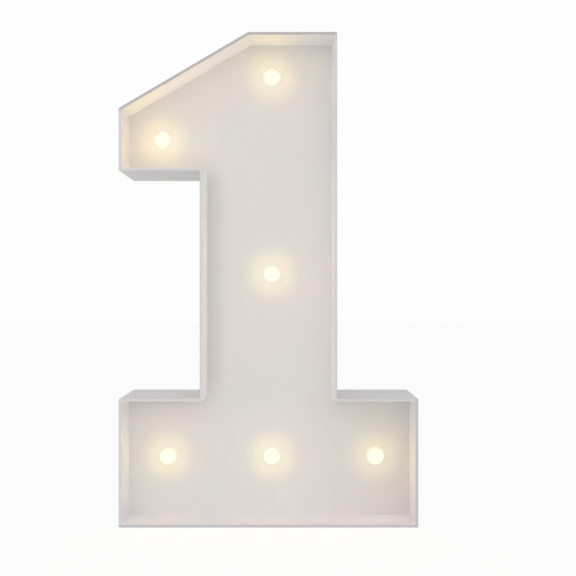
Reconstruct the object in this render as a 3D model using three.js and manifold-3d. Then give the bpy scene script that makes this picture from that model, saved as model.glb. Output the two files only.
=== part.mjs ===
// Light-up marquee number: a moulded tray in the outline of the numeral one, with six lit domes on a
// panel half way back and a screwed rear cover that carries two AA cells, a switch and a keyhole.
// Millimetres, +Z up. The open front faces -Y, and the origin is the middle of the underside.

import * as THREE from 'three';
import { mergeVertices, toCreasedNormals } from 'three/addons/utils/BufferGeometryUtils.js';
import Module from 'manifold-3d';

const wasm = await Module();
wasm.setup();

// Clearances and cuts that every piece shares
const clearance = 0.3;
const overrun = 1; // how far a cut runs past the face that it opens
const bite = 0.4; // how far a joined feature runs into what carries it

// Numeral outline
const numeralHeight = 220;
const baseWidth = 133;
const baseHeight = 57.2;
const stemWidth = 61;
const slantFall = 33.8; // from the top edge down to the flag's upright edge
const flagEdge = 27.9; // height of the flag's upright edge
const crestWidth = 39.5; // level top edge, from the stem's right side to the slant

// Housing
const recessDepth = 20.3; // front rim to the panel's face
const panelThickness = 1.8;
const cavityDepth = 22.9; // the panel's back to the rear rim
const rimWall = 1.2; // side wall at the front and rear rims
const rootWall = 1.6; // side wall where it meets the panel

// Places of the six lights
const baseLightHeight = 28.9;
const baseLightInset = 18.7; // in from the base's sides, before the shift
const lightShift = 1.1; // how far the base and stem lights stand right of the middle
const bayToLight = 11.4; // from the battery bay's outer walls to the lights above and below
const topLightDrop = 16.6; // below the top edge
const flagLightInset = 17.3; // in from the flag's upright edge
const flagLightRise = 16.1; // above the flag's lower edge

// Lights
const ledRadius = 2.5;
const ledLength = 8.6;
const ledFlangeRadius = 2.9;
const ledFlangeThickness = 1;
const ledLegSpacing = 2.54;
const ledLegWidth = 0.5;
const ledLegLength = 4;
const domeWall = 0.8;
const domeFlangeOverlap = 0.5; // flange past the edge of its hole
const domeFlangeThickness = 0.4;
const socketWall = 1.3;
const plugGrip = 1.8; // how deep a plug sits in its socket
const plugHeadRadius = 4.6;
const plugHeadHeight = 3.4;
const plugBore = 2.2;
const plugFloor = 1;

// Rear cover and its screws
const coverThickness = 2;
const restReach = 1.6; // how far a rest stands in from the wall
const restWidth = 1.6;
const restPitch = 50; // about one rest for each such length of wall
const lipWall = 1.2;
const lipHeight = 3;
const wellToWall = 0.7; // from the inner faces of the rim to a screw well
const bossWall = 1.7;
const gussetThickness = 1.2;
const gussetHeight = 10;
const stemBossRise = 5.2; // above the stem light
const crestBossShift = 6; // left of the slant's upper end
const crestBossDrop = 14; // below the top edge
const screwShankRadius = 1.2;
const screwLength = 9;
const screwPoint = 2;
const screwHeadRadius = 2.6;
const screwHeadHeight = 1.9;
const screwHeadEdge = 0.7; // height of the upright edge under the domed head
const pilotSpare = 1; // bore left below the screw's tip
const wellDepth = 5;
const wellPlay = 0.8; // room for a driver round the screw head
const wellWall = 1.2;
const wellFloor = 1.4;
const stiffenerThickness = 1.2;
const stiffenerHeight = 2;

// Battery cells and contacts
const cellRadius = 7.25;
const cellLength = 50.5; // over the terminal
const cellShoulder = 0.6; // rounding at the ends of the can
const cellTerminalRadius = 2.75;
const cellTerminalHeight = 1.2;
const cellGap = 0.7;
const springLength = 5.3;
const springWireRadius = 0.4;
const springBaseRadius = 4;
const springTipRadius = 2.6;
const springTurns = 3.5;
const contactThickness = 0.5;
const contactInset = 0.35; // from a cell's side to the edge of its strip
const contactDrop = 2.5; // how much lower a strip is than a cell is wide
const tailWidth = 3;
const tailLength = 3; // outside the bay's end wall

// Battery bay in the cover
const doorThickness = 1.6;
const doorToCell = 0.5;
const cellToFloor = 0.8;
const bayWall = 1.4;
const doorLedge = 0.9;
const saddleThickness = 1.6;
const saddleHeight = 4;
const saddleShares = [0.27, 0.73]; // places along the bay
const keeperWidth = 1.2; // ribs that trap the contact strips
const keeperThickness = 0.8;
const keeperHeight = 11;

// Battery door
const hookWidth = 3.4;
const hookThickness = 1.3;
const hookReach = 2; // past the upper edge of the opening
const hookInset = 0.65; // from the hook's outer side to the bay's side wall
const hookRoot = 2;
const latchWidth = 12;
const latchLength = 11;
const latchSlit = 0.8;
const latchReach = 0.8;
const gripGrooveWidth = 0.8;
const gripGrooveDepth = 0.5;
const gripGroovePitch = 1.8;
const gripGrooves = 3;
const scoopRadius = 7;
const scoopDepth = 1.2;

// Slide switch
const switchToLight = 18.2; // its centre above the stem light
const switchTravel = 4;
const knobLength = 4;
const knobWidth = 3.2;
const knobGrooveDepth = 0.5;
const knobGrooveWidth = 0.5;
const knobGroovePitch = 1.1;
const sliderBaseLength = 6.2;
const sliderBaseWidth = 4.4;
const sliderBaseHeight = 2.2;
const switchCanLength = 13;
const switchCanWidth = 6.2;
const switchCanDepth = 5;
const switchFlangeEnd = 2; // past the axis of its screw
const switchFlangeThickness = 0.8;
const switchScrewGap = 1.3; // from the can to a screw's head
const switchScrewRadius = 0.8;
const switchScrewLength = 4;
const switchScrewHeadRadius = 1.7;
const switchScrewHeadHeight = 1.1;
const switchBossWall = 1.1;
const switchRecessLength = 16;
const switchRecessWidth = 9;
const switchRecessDepth = 3;
const switchRecessWall = 1.2;
const terminalPitch = 2.5;
const terminalWidth = 0.8;
const terminalThickness = 0.4;
const terminalLength = 3;

// Keyhole for hanging, above the centre of mass
const keyholeShift = -3.3;
const keyholeDrop = 42; // below the top edge
const keyholeRadius = 4.25;
const keyholeSlotRadius = 2;
const keyholeRise = 8; // centre of the round hole to the top of the slot's centre line
const keyholePadMargin = 3;
const keyholePadThickness = 1.2;

// Wiring
const leadRadius = 0.9;
const wireRadius = 0.6;
const cableStraight = 3; // straight stretch out of a plug
const leadLift = 2.4; // gap between the panel and a lead at its lowest points
const wireStraight = 1.5;

// Facets
const holeSides = 20;
const domeSides = 18;
const domeRows = 5;
const boreRows = 3; // inside a dome
const smallSides = 12;
const cellSides = 24;
const cableSides = 6;
const cableSteps = 14;
const springSteps = 8; // in each turn
const springSides = 5;

// Levels along Y
const frontY = -(recessDepth + panelThickness + cavityDepth) / 2;
const panelFaceY = frontY + recessDepth;
const panelBackY = panelFaceY + panelThickness;
const rearY = panelBackY + cavityDepth;
const coverInnerY = rearY - coverThickness;

// Radius of a screw well, and how far in from the outer faces the wells and bosses stand
const wellRadius = screwHeadRadius + wellPlay;
const bossInset = rimWall + wellToWall + wellWall + wellRadius;

// Outline of the numeral, anticlockwise as seen from the front, in X and Z
const halfBase = baseWidth / 2;
const halfStem = stemWidth / 2;
const crestLeft = halfStem - crestWidth;
const flagTop = numeralHeight - slantFall;
const flagUnderside = flagTop - flagEdge;
const numeral = [
  new THREE.Vector2(-halfBase, 0),
  new THREE.Vector2(halfBase, 0),
  new THREE.Vector2(halfBase, baseHeight),
  new THREE.Vector2(halfStem, baseHeight),
  new THREE.Vector2(halfStem, numeralHeight),
  new THREE.Vector2(crestLeft, numeralHeight),
  new THREE.Vector2(-halfBase, flagTop),
  new THREE.Vector2(-halfBase, flagUnderside),
  new THREE.Vector2(-halfStem, flagUnderside),
  new THREE.Vector2(-halfStem, baseHeight),
  new THREE.Vector2(-halfBase, baseHeight),
];

// Heights that stack up from the base lights: the bay, the stem light, the switch
const contactSpace = contactThickness + 2 * clearance;
const bayLength = 2 * contactSpace + springLength + clearance + cellLength;
const bayBottom = baseLightHeight + bayToLight + bayWall;
const bayTop = bayBottom + bayLength;
const bayMiddle = (bayBottom + bayTop) / 2;
const stemLightHeight = bayTop + bayWall + bayToLight;
const switchHeight = stemLightHeight + switchToLight;
const keyholeHeight = numeralHeight - keyholeDrop;

// Lights by name, in X and Z
const baseLightPitch = halfBase - baseLightInset;
const lights = {
  top: new THREE.Vector2(lightShift, numeralHeight - topLightDrop),
  flag: new THREE.Vector2(-halfBase + flagLightInset, flagUnderside + flagLightRise),
  stem: new THREE.Vector2(lightShift, stemLightHeight),
  baseLeft: new THREE.Vector2(lightShift - baseLightPitch, baseLightHeight),
  baseMiddle: new THREE.Vector2(lightShift, baseLightHeight),
  baseRight: new THREE.Vector2(lightShift + baseLightPitch, baseLightHeight),
};

// Screw bosses, in X and Z, each with the directions in which its gussets reach the walls
const left = new THREE.Vector2(-1, 0);
const right = new THREE.Vector2(1, 0);
const up = new THREE.Vector2(0, 1);
const down = new THREE.Vector2(0, -1);
const bosses = [
  { x: -halfBase + bossInset, z: bossInset, gussets: [left, down] },
  { x: halfBase - bossInset, z: bossInset, gussets: [right, down] },
  { x: -halfBase + bossInset, z: baseHeight - bossInset, gussets: [left, up] },
  { x: halfBase - bossInset, z: baseHeight - bossInset, gussets: [right, up] },
  { x: -halfStem + bossInset, z: stemLightHeight + stemBossRise, gussets: [left] },
  { x: halfStem - bossInset, z: stemLightHeight + stemBossRise, gussets: [right] },
  { x: -halfBase + bossInset, z: flagUnderside + bossInset, gussets: [left, down] },
  { x: halfStem - bossInset, z: numeralHeight - bossInset, gussets: [right, up] },
  { x: crestLeft - crestBossShift, z: numeralHeight - crestBossDrop, gussets: [] },
];

// Sizes and levels of a light
const lightHoleRadius = ledRadius + clearance + domeWall + clearance;
const domeRadius = ledRadius + clearance + domeWall;
const domeFlangeY = panelFaceY - clearance - domeFlangeThickness;
const ledTipY = domeFlangeY - ledRadius;
const ledBaseY = ledTipY + ledLength;
const socketEndY = ledBaseY + clearance + plugGrip;
const plugHeadY = socketEndY + clearance;

// Sizes and levels of the cover's fixings
const pilotRadius = screwShankRadius + clearance;
const bossRadius = pilotRadius + bossWall;
const wellFloorY = rearY - wellDepth;
const bossTopY = wellFloorY - wellFloor;
const screwSeatY = wellFloorY + clearance;
const screwTipY = screwSeatY - screwLength;

// Battery bay
const contactWidth = 2 * (cellRadius - contactInset);
const contactHeight = 2 * cellRadius - contactDrop;
const cellPitch = 2 * cellRadius + cellGap;
const halfBay = cellPitch / 2 + cellRadius + clearance;
const doorInnerY = rearY - doorThickness;
const cellY = doorInnerY - doorToCell - cellRadius;
const bayFloorY = cellY - cellRadius - cellToFloor;
const halfOpening = halfBay + doorLedge;
const openingBottom = bayBottom - doorLedge;
const openingTop = bayTop + doorLedge;

// Door hooks: the door turns about its upper outer edge
const doorTop = openingTop - clearance;
const doorBottom = openingBottom + clearance;
const hookOuterY = coverInnerY - clearance;
const hookInnerY = hookOuterY - hookThickness;
const hookX = halfBay - hookInset - hookWidth / 2;
const hookSwing = Math.hypot(rearY - hookInnerY, openingTop + hookReach - doorTop);
const notchY = rearY - hookSwing - clearance;

// Switch lengths and levels
const switchScrewSpacing = switchCanLength + 2 * (switchScrewGap + switchScrewHeadRadius);
const switchFlangeLength = switchScrewSpacing + 2 * switchFlangeEnd;
const recessFloorY = rearY - switchRecessDepth;
const switchSeatY = recessFloorY - switchRecessWall;
const switchFlangeY = switchSeatY - clearance;
const switchCanY = switchFlangeY - switchFlangeThickness;
const switchBackY = switchCanY - switchCanDepth;
const switchHoleRadius = switchScrewRadius + clearance;
const switchScrewSeatY = switchCanY - clearance;
const switchScrewEndY = switchScrewSeatY + switchScrewLength;
const halfSlot = (knobLength + switchTravel) / 2 + clearance;
const halfSlotWidth = knobWidth / 2 + clearance;

// Materials
const finish = (color, roughness, metalness = 0) =>
  new THREE.MeshStandardMaterial({ color, roughness, metalness });
const whiteMoulding = finish(0xe6e1da, 0.5);
const litDome = new THREE.MeshStandardMaterial({
  color: 0xfff6dc, roughness: 0.35, emissive: 0xffe9b0, emissiveIntensity: 0.8,
});
const ledResin = finish(0xfff1c2, 0.2);
const plugRubber = finish(0xcfcac2, 0.7);
const cellJacket = finish(0x4a4e54, 0.4, 0.3);
const plating = finish(0xb9bcc0, 0.3, 1);
const switchCan = finish(0x26272a, 0.5);
const leadJacket = finish(0xeeece6, 0.5);
const redJacket = finish(0xa33028, 0.5);
const blackJacket = finish(0x1f2022, 0.5);

// An outline moved inwards by a distance, with mitred corners
function inset(outline, distance) {
  const inward = (from, to) => new THREE.Vector2(from.y - to.y, to.x - from.x).normalize();
  return outline.map((point, i) => {
    const before = inward(outline.at(i - 1), point);
    const after = inward(point, outline[(i + 1) % outline.length]);
    const stretch = distance / (1 + before.dot(after));
    return before.add(after).multiplyScalar(stretch).add(point);
  });
}

// A closed geometry as a solid that can be cut and joined
function solid(geometry) {
  const bare = geometry.clone();
  bare.deleteAttribute('normal');
  bare.deleteAttribute('uv');
  const merged = mergeVertices(bare);
  return new wasm.Manifold(new wasm.Mesh({
    numProp: 3,
    vertProperties: merged.attributes.position.array,
    triVerts: new Uint32Array(merged.index.array),
  }));
}

// A solid back as a geometry, with hard edges kept hard
function geometryOf(body) {
  const { vertProperties, triVerts } = body.getMesh();
  const geometry = new THREE.BufferGeometry();
  geometry.setAttribute('position', new THREE.BufferAttribute(vertProperties, 3));
  geometry.setIndex(new THREE.BufferAttribute(triVerts, 1));
  return toCreasedNormals(geometry, Math.PI / 6);
}

const join = (bodies) => bodies.reduce((whole, body) => whole.add(body));
const cut = (body, cuts) => cuts.reduce((rest, tool) => rest.subtract(tool), body);

// A slab between two levels of Y with an outline in X and Z
function slab(outline, front, rear) {
  const shape = new THREE.Shape(outline);
  const geometry = new THREE.ExtrudeGeometry(shape, { depth: rear - front, bevelEnabled: false });
  return solid(geometry.rotateX(Math.PI / 2).translate(0, rear, 0));
}

// A body that runs from one outline at a front level to another at a rear level
function taper(frontOutline, front, rearOutline, rear) {
  const count = frontOutline.length;
  const corners = [
    ...frontOutline.flatMap((point) => [point.x, front, point.y]),
    ...rearOutline.flatMap((point) => [point.x, rear, point.y]),
  ];
  const faces = THREE.ShapeUtils.triangulateShape(frontOutline, []);
  const index = faces.flatMap(([a, b, c]) => [a, b, c, count + c, count + b, count + a]);
  frontOutline.forEach((_, i) => {
    const next = (i + 1) % count;
    index.push(i, count + i, next, next, count + i, count + next);
  });
  const geometry = new THREE.BufferGeometry();
  geometry.setAttribute('position', new THREE.Float32BufferAttribute(corners, 3));
  geometry.setIndex(index);
  return solid(geometry);
}

// A block between limits in X, Y and Z
function block(x0, x1, y0, y1, z0, z1) {
  const geometry = new THREE.BoxGeometry(x1 - x0, y1 - y0, z1 - z0);
  return solid(geometry.translate((x0 + x1) / 2, (y0 + y1) / 2, (z0 + z1) / 2));
}

// A round rod along Y
function rod(radius, front, rear, x, z, sides = holeSides) {
  const geometry = new THREE.CylinderGeometry(radius, radius, rear - front, sides);
  return solid(geometry.translate(x, (front + rear) / 2, z));
}

// A turned piece about an axis along Y, from a profile of radii and levels
function turned(profile, sides) {
  const points = profile.map(([radius, y]) => new THREE.Vector2(radius, y));
  return new THREE.LatheGeometry(points, sides);
}

// A quarter round of profile points from the axis outwards, for a dome whose tip faces the front
function domeArc(radius, y, rows) {
  return Array.from({ length: rows + 1 }, (_, i) => {
    const angle = (i / rows) * (Math.PI / 2);
    return [radius * Math.sin(angle), y - radius * Math.cos(angle)];
  });
}

// The cavity in front of or behind the panel, its walls thinning towards the open rim
function cavity(openY, rootY) {
  const outward = Math.sign(openY - rootY);
  const slope = (rootWall - rimWall) / Math.abs(openY - rootY);
  const pastRim = inset(numeral, rimWall - slope * overrun);
  const root = inset(numeral, rootWall);
  const pastRimY = openY + outward * overrun;
  return outward < 0
    ? taper(pastRim, pastRimY, root, rootY)
    : taper(root, rootY, pastRim, pastRimY);
}

// Rests along the walls that the cover sits on, clear of the screw wells
function rests() {
  const wellReach = wellRadius + wellWall + restWidth;
  return numeral.flatMap((from, i) => {
    const to = numeral[(i + 1) % numeral.length];
    const along = to.clone().sub(from);
    const count = Math.floor(along.length() / restPitch);
    return Array.from({ length: count }, (_, k) => {
      const foot = from.clone().addScaledVector(along, (k + 0.5) / count);
      const nearWell = bosses.some(({ x, z }) => foot.distanceTo({ x, y: z }) < bossInset + wellReach);
      return nearWell ? [] : [rest(foot, along.angle())];
    }).flat();
  });
}

// One rest: a rib across the wall at a point of the outline
function rest(foot, angle) {
  const depth = coverInnerY - panelBackY + bite;
  const geometry = new THREE.BoxGeometry(restWidth, depth, restReach + bite);
  geometry.translate(0, coverInnerY - depth / 2, rimWall - bite + (restReach + bite) / 2);
  return solid(geometry.rotateY(-angle).translate(foot.x, 0, foot.y));
}

// One screw boss with its gussets
function boss({ x, z, gussets }) {
  const top = panelBackY + gussetHeight;
  const half = gussetThickness / 2;
  const reach = bossInset - rimWall;
  const ribs = gussets.map((way) => block(
    Math.min(x - half, x + way.x * reach), Math.max(x + half, x + way.x * reach),
    panelBackY - bite, top,
    Math.min(z - half, z + way.y * reach), Math.max(z + half, z + way.y * reach),
  ));
  return join([rod(bossRadius, panelBackY - bite, bossTopY, x, z), ...ribs]);
}

function frontHousing() {
  const shell = cut(slab(numeral, frontY, rearY), [
    cavity(frontY, panelFaceY),
    cavity(rearY, panelBackY),
  ]);
  const places = Object.values(lights);
  const socketRadius = lightHoleRadius + socketWall;
  const sockets = places.map(({ x, y }) => rod(socketRadius, panelBackY - bite, socketEndY, x, y));
  const bores = places.map(({ x, y }) => (
    rod(lightHoleRadius, panelFaceY - overrun, socketEndY + overrun, x, y)
  ));
  const pilots = bosses.map(({ x, z }) => (
    rod(pilotRadius, screwTipY - pilotSpare, bossTopY + overrun, x, z, smallSides)
  ));
  return cut(join([shell, ...sockets, ...bosses.map(boss), ...rests()]), [...bores, ...pilots]);
}

function bulbDome({ x, y: z }) {
  const boreRadius = ledRadius + clearance;
  const flangeRadius = lightHoleRadius + domeFlangeOverlap;
  const flangeBackY = domeFlangeY + domeFlangeThickness;
  const spigotEndY = ledBaseY - ledFlangeThickness - clearance;
  const outside = domeArc(domeRadius, domeFlangeY, domeRows);
  const inside = domeArc(boreRadius, domeFlangeY, boreRows).reverse();
  return turned([
    ...outside,
    [flangeRadius, domeFlangeY],
    [flangeRadius, flangeBackY],
    [domeRadius, flangeBackY],
    [domeRadius, spigotEndY],
    [boreRadius, spigotEndY],
    ...inside,
  ], domeSides).translate(x, 0, z);
}

function led({ x, y: z }) {
  const flangeY = ledBaseY - ledFlangeThickness;
  const body = turned([
    ...domeArc(ledRadius, domeFlangeY, domeRows),
    [ledRadius, flangeY],
    [ledFlangeRadius, flangeY],
    [ledFlangeRadius, ledBaseY],
    [0, ledBaseY],
  ], smallSides);
  const half = ledLegWidth / 2;
  const legs = [-1, 1].map((side) => {
    const legX = side * ledLegSpacing / 2;
    return block(legX - half, legX + half, ledBaseY - bite, ledBaseY + ledLegLength, -half, half);
  });
  return geometryOf(join([solid(body), ...legs])).translate(x, 0, z);
}

function ledPlug({ x, y: z }) {
  const gripRadius = lightHoleRadius - clearance;
  const gripY = ledBaseY + clearance;
  const backY = plugHeadY + plugHeadHeight;
  return turned([
    [plugBore, gripY],
    [gripRadius, gripY],
    [gripRadius, plugHeadY],
    [plugHeadRadius, plugHeadY],
    [plugHeadRadius, backY],
    [0, backY],
    [0, backY - plugFloor],
    [plugBore, backY - plugFloor],
    [plugBore, gripY],
  ], smallSides).translate(x, 0, z);
}

function coverScrew({ x, z }) {
  const headTopY = screwSeatY + screwHeadHeight;
  const crownRadius = screwHeadRadius - (screwHeadHeight - screwHeadEdge) / 2;
  return turned([
    [0, screwTipY],
    [screwShankRadius, screwTipY + screwPoint],
    [screwShankRadius, screwSeatY],
    [screwHeadRadius, screwSeatY],
    [screwHeadRadius, screwSeatY + screwHeadEdge],
    [crownRadius, headTopY],
    [0, headTopY],
  ], smallSides).translate(x, 0, z);
}

// The screw cup that sinks into the cavity, and what is bored out of it
function well({ x, z }) {
  return rod(wellRadius + wellWall, bossTopY, coverInnerY + bite, x, z);
}

function wellBores({ x, z }) {
  return [
    rod(wellRadius, wellFloorY, rearY + overrun, x, z),
    rod(pilotRadius, bossTopY - overrun, wellFloorY + overrun, x, z, smallSides),
  ];
}

// The rim that locates the cover inside the rests
function coverLip() {
  const outer = rimWall + restReach + clearance;
  const lipY = coverInnerY - lipHeight;
  return cut(slab(inset(numeral, outer), lipY, coverInnerY + bite), [
    slab(inset(numeral, outer + lipWall), lipY - overrun, coverInnerY + bite + overrun),
  ]);
}

// Low ribs on the inside of the cover, along the base and the upper stem
function stiffeners() {
  const ribY = coverInnerY - stiffenerHeight;
  const half = stiffenerThickness / 2;
  const baseEnd = halfBase - 2 * bossInset;
  const baseZ = (bossInset + openingBottom) / 2;
  const stemHead = keyholeHeight - keyholeRadius - keyholePadMargin + bite;
  const stemFoot = Math.min(switchHeight + switchRecessWidth, stemHead - stiffenerHeight);
  return [
    block(-baseEnd, baseEnd, ribY, coverInnerY + bite, baseZ - half, baseZ + half),
    block(keyholeShift - half, keyholeShift + half, ribY, coverInnerY + bite, stemFoot, stemHead),
  ];
}

// Outline of the keyhole, or with a margin, of the pad round it
function keyholeOutline(margin) {
  const slot = keyholeSlotRadius + margin;
  const round = keyholeRadius + margin;
  const meet = Math.asin(slot / round);
  const shape = new THREE.Shape();
  shape.absarc(keyholeShift, keyholeHeight, round, Math.PI / 2 - meet, Math.PI / 2 + meet, true);
  shape.absarc(keyholeShift, keyholeHeight + keyholeRise, slot, Math.PI, 0, true);
  return shape.getPoints(holeSides / 2).reverse();
}

// Bay walls and floor, before the cells' space is taken out
function bayBlock() {
  return block(
    -halfBay - bayWall, halfBay + bayWall,
    bayFloorY - bayWall, coverInnerY + bite,
    bayBottom - bayWall, bayTop + bayWall,
  );
}

// The cells' space, the door's opening, and the slots through the bay's end walls
function bayCuts() {
  const halfHookGap = hookWidth / 2 + clearance;
  const halfLatchGap = latchWidth / 2 + clearance;
  const pastTop = bayTop + bayWall + overrun;
  const pastBottom = bayBottom - bayWall - overrun;
  const halfTail = tailWidth / 2 + clearance;
  const tailSlotTop = bayFloorY + contactThickness + 2 * clearance;
  const hookNotches = [-hookX, hookX].flatMap((x) => [
    block(x - halfHookGap, x + halfHookGap, notchY, doorInnerY, bayTop - overrun, openingTop),
    block(x - halfHookGap, x + halfHookGap, notchY, coverInnerY, bayTop - overrun, pastTop),
  ]);
  const tailSlots = [-cellPitch / 2, cellPitch / 2].map((x) => (
    block(x - halfTail, x + halfTail, bayFloorY, tailSlotTop, bayTop - overrun, pastTop)
  ));
  return [
    block(-halfBay, halfBay, bayFloorY, rearY + overrun, bayBottom, bayTop),
    block(-halfOpening, halfOpening, doorInnerY - clearance, rearY + overrun, openingBottom, openingTop),
    block(-halfLatchGap, halfLatchGap, notchY, doorInnerY, openingBottom, bayBottom + overrun),
    block(-halfLatchGap, halfLatchGap, notchY, coverInnerY, pastBottom, bayBottom + overrun),
    rod(scoopRadius, rearY - scoopDepth, rearY + overrun, 0, openingBottom),
    ...hookNotches,
    ...tailSlots,
  ];
}

// Saddles under the cells, and the keepers that trap the contact strips at the bay's ends
function bayFittings() {
  const saddleTop = bayFloorY + saddleHeight;
  const hollows = [-cellPitch / 2, cellPitch / 2].map((x) => {
    const geometry = new THREE.CylinderGeometry(
      cellRadius + clearance, cellRadius + clearance, bayLength, cellSides,
    );
    return solid(geometry.rotateX(Math.PI / 2).translate(x, cellY, bayMiddle));
  });
  const saddles = saddleShares.map((share) => {
    const z = bayBottom + share * bayLength;
    const half = saddleThickness / 2;
    const rib = block(-halfBay - bite, halfBay + bite, bayFloorY - bite, saddleTop, z - half, z + half);
    return cut(rib, hollows);
  });
  const keepers = [
    [bayBottom + contactSpace, bayBottom + contactSpace + keeperThickness],
    [bayTop - contactSpace - keeperThickness, bayTop - contactSpace],
  ].flatMap(([z0, z1]) => [
    block(-halfBay - bite, -halfBay + keeperWidth, bayFloorY - bite, bayFloorY + keeperHeight, z0, z1),
    block(-keeperWidth, keeperWidth, bayFloorY - bite, bayFloorY + keeperHeight, z0, z1),
    block(halfBay - keeperWidth, halfBay + bite, bayFloorY - bite, bayFloorY + keeperHeight, z0, z1),
  ]);
  return [...saddles, ...keepers];
}

// The sunk place for the switch, with the two bosses that hold it
function switchMount() {
  const halfLength = switchRecessLength / 2 + switchRecessWall;
  const halfWidth = switchRecessWidth / 2 + switchRecessWall;
  const switchBossRadius = switchHoleRadius + switchBossWall;
  return [
    block(
      -halfLength, halfLength, switchSeatY, coverInnerY + bite,
      switchHeight - halfWidth, switchHeight + halfWidth,
    ),
    ...[-1, 1].map((side) => (
      rod(
        switchBossRadius, switchSeatY, coverInnerY + bite,
        side * switchScrewSpacing / 2, switchHeight, smallSides,
      )
    )),
  ];
}

function switchMountCuts() {
  const halfLength = switchRecessLength / 2;
  const halfWidth = switchRecessWidth / 2;
  const holeEndY = switchScrewEndY + clearance;
  return [
    block(
      -halfLength, halfLength, recessFloorY, rearY + overrun,
      switchHeight - halfWidth, switchHeight + halfWidth,
    ),
    block(
      -halfSlot, halfSlot, switchSeatY - overrun, recessFloorY + overrun,
      switchHeight - halfSlotWidth, switchHeight + halfSlotWidth,
    ),
    ...[-1, 1].map((side) => (
      rod(
        switchHoleRadius, switchSeatY - overrun, holeEndY,
        side * switchScrewSpacing / 2, switchHeight, smallSides,
      )
    )),
  ];
}

function rearCover() {
  const padY = coverInnerY - keyholePadThickness;
  const body = join([
    slab(inset(numeral, rimWall + clearance), coverInnerY, rearY),
    coverLip(),
    bayBlock(),
    slab(keyholeOutline(keyholePadMargin), padY, coverInnerY + bite),
    ...bosses.map(well),
    ...stiffeners(),
    ...switchMount(),
  ]);
  const open = cut(body, [
    ...bosses.flatMap(wellBores),
    ...bayCuts(),
    ...switchMountCuts(),
    slab(keyholeOutline(0), padY - overrun, rearY + overrun),
  ]);
  return join([open, ...bayFittings()]);
}

// Door: a flush plate with two hooks above and a latch tongue below
function batteryDoor() {
  const halfWidth = halfOpening - clearance;
  const plate = block(-halfWidth, halfWidth, doorInnerY, rearY, doorBottom, doorTop);
  const hooks = [-hookX, hookX].flatMap((x) => {
    const low = x - hookWidth / 2;
    const high = x + hookWidth / 2;
    return [
      block(low, high, hookInnerY, doorInnerY + bite, doorTop - hookRoot, doorTop),
      block(low, high, hookInnerY, hookOuterY, doorTop - hookRoot, openingTop + hookReach),
    ];
  });
  const halfLatch = latchWidth / 2;
  const catchZ = openingBottom - latchReach;
  const latch = [
    block(-halfLatch, halfLatch, hookInnerY, doorInnerY + bite, doorBottom, doorBottom + hookRoot),
    block(-halfLatch, halfLatch, hookInnerY, hookOuterY, catchZ, doorBottom + hookRoot),
  ];
  const slits = [-1, 1].map((side) => {
    const inner = side * halfLatch;
    const outer = side * (halfLatch + latchSlit);
    return block(
      Math.min(inner, outer), Math.max(inner, outer), doorInnerY - overrun, rearY + overrun,
      doorBottom - overrun, doorBottom + latchLength,
    );
  });
  const grooves = Array.from({ length: gripGrooves }, (_, i) => {
    const z = doorBottom + latchLength / 2 + (i - (gripGrooves - 1) / 2) * gripGroovePitch;
    const half = gripGrooveWidth / 2;
    return block(
      -halfLatch + bite, halfLatch - bite, rearY - gripGrooveDepth, rearY + overrun, z - half, z + half,
    );
  });
  return cut(join([plate, ...hooks, ...latch]), [...slits, ...grooves]);
}

// A cell standing along Z, its terminal at the upper end
function batteryCell() {
  const canTop = cellLength - cellTerminalHeight;
  return turned([
    [0, 0],
    [cellRadius - cellShoulder, 0],
    [cellRadius, cellShoulder],
    [cellRadius, canTop - cellShoulder],
    [cellRadius - cellShoulder, canTop],
    [cellTerminalRadius, canTop],
    [cellTerminalRadius, cellLength],
    [0, cellLength],
  ], cellSides).rotateX(Math.PI / 2);
}

// Contact strip at the bay's upper end, with a tail through the end wall
function endContact(x) {
  const stripTop = bayTop - clearance;
  const stripY = bayFloorY + clearance;
  const strip = block(
    x - contactWidth / 2, x + contactWidth / 2,
    stripY, stripY + contactHeight, stripTop - contactThickness, stripTop,
  );
  const tail = block(
    x - tailWidth / 2, x + tailWidth / 2, stripY, stripY + contactThickness,
    stripTop - contactThickness, bayTop + bayWall + tailLength,
  );
  return join([strip, tail]);
}

function contactBridge() {
  const halfWidth = (cellPitch + contactWidth) / 2;
  const stripY = bayFloorY + clearance;
  const foot = bayBottom + clearance;
  return block(-halfWidth, halfWidth, stripY, stripY + contactHeight, foot, foot + contactThickness);
}

// Centre line of a conical spring that stands along Z, from its wide base to its tip
function springLine() {
  const steps = Math.round(springTurns * springSteps);
  const rise = springLength - 2 * springWireRadius;
  return Array.from({ length: steps + 1 }, (_, i) => {
    const share = i / steps;
    const angle = share * springTurns * 2 * Math.PI;
    const radius = THREE.MathUtils.lerp(springBaseRadius, springTipRadius, share);
    const z = springWireRadius + share * rise;
    return new THREE.Vector3(radius * Math.cos(angle), radius * Math.sin(angle), z);
  });
}

// Least gap between one turn of the spring and another
function springGap(line) {
  const apart = springSteps / 2;
  const gaps = line.flatMap((a, i) => line.slice(i + apart).map((b) => a.distanceTo(b)));
  return Math.min(...gaps) - 2 * springWireRadius;
}

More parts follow.
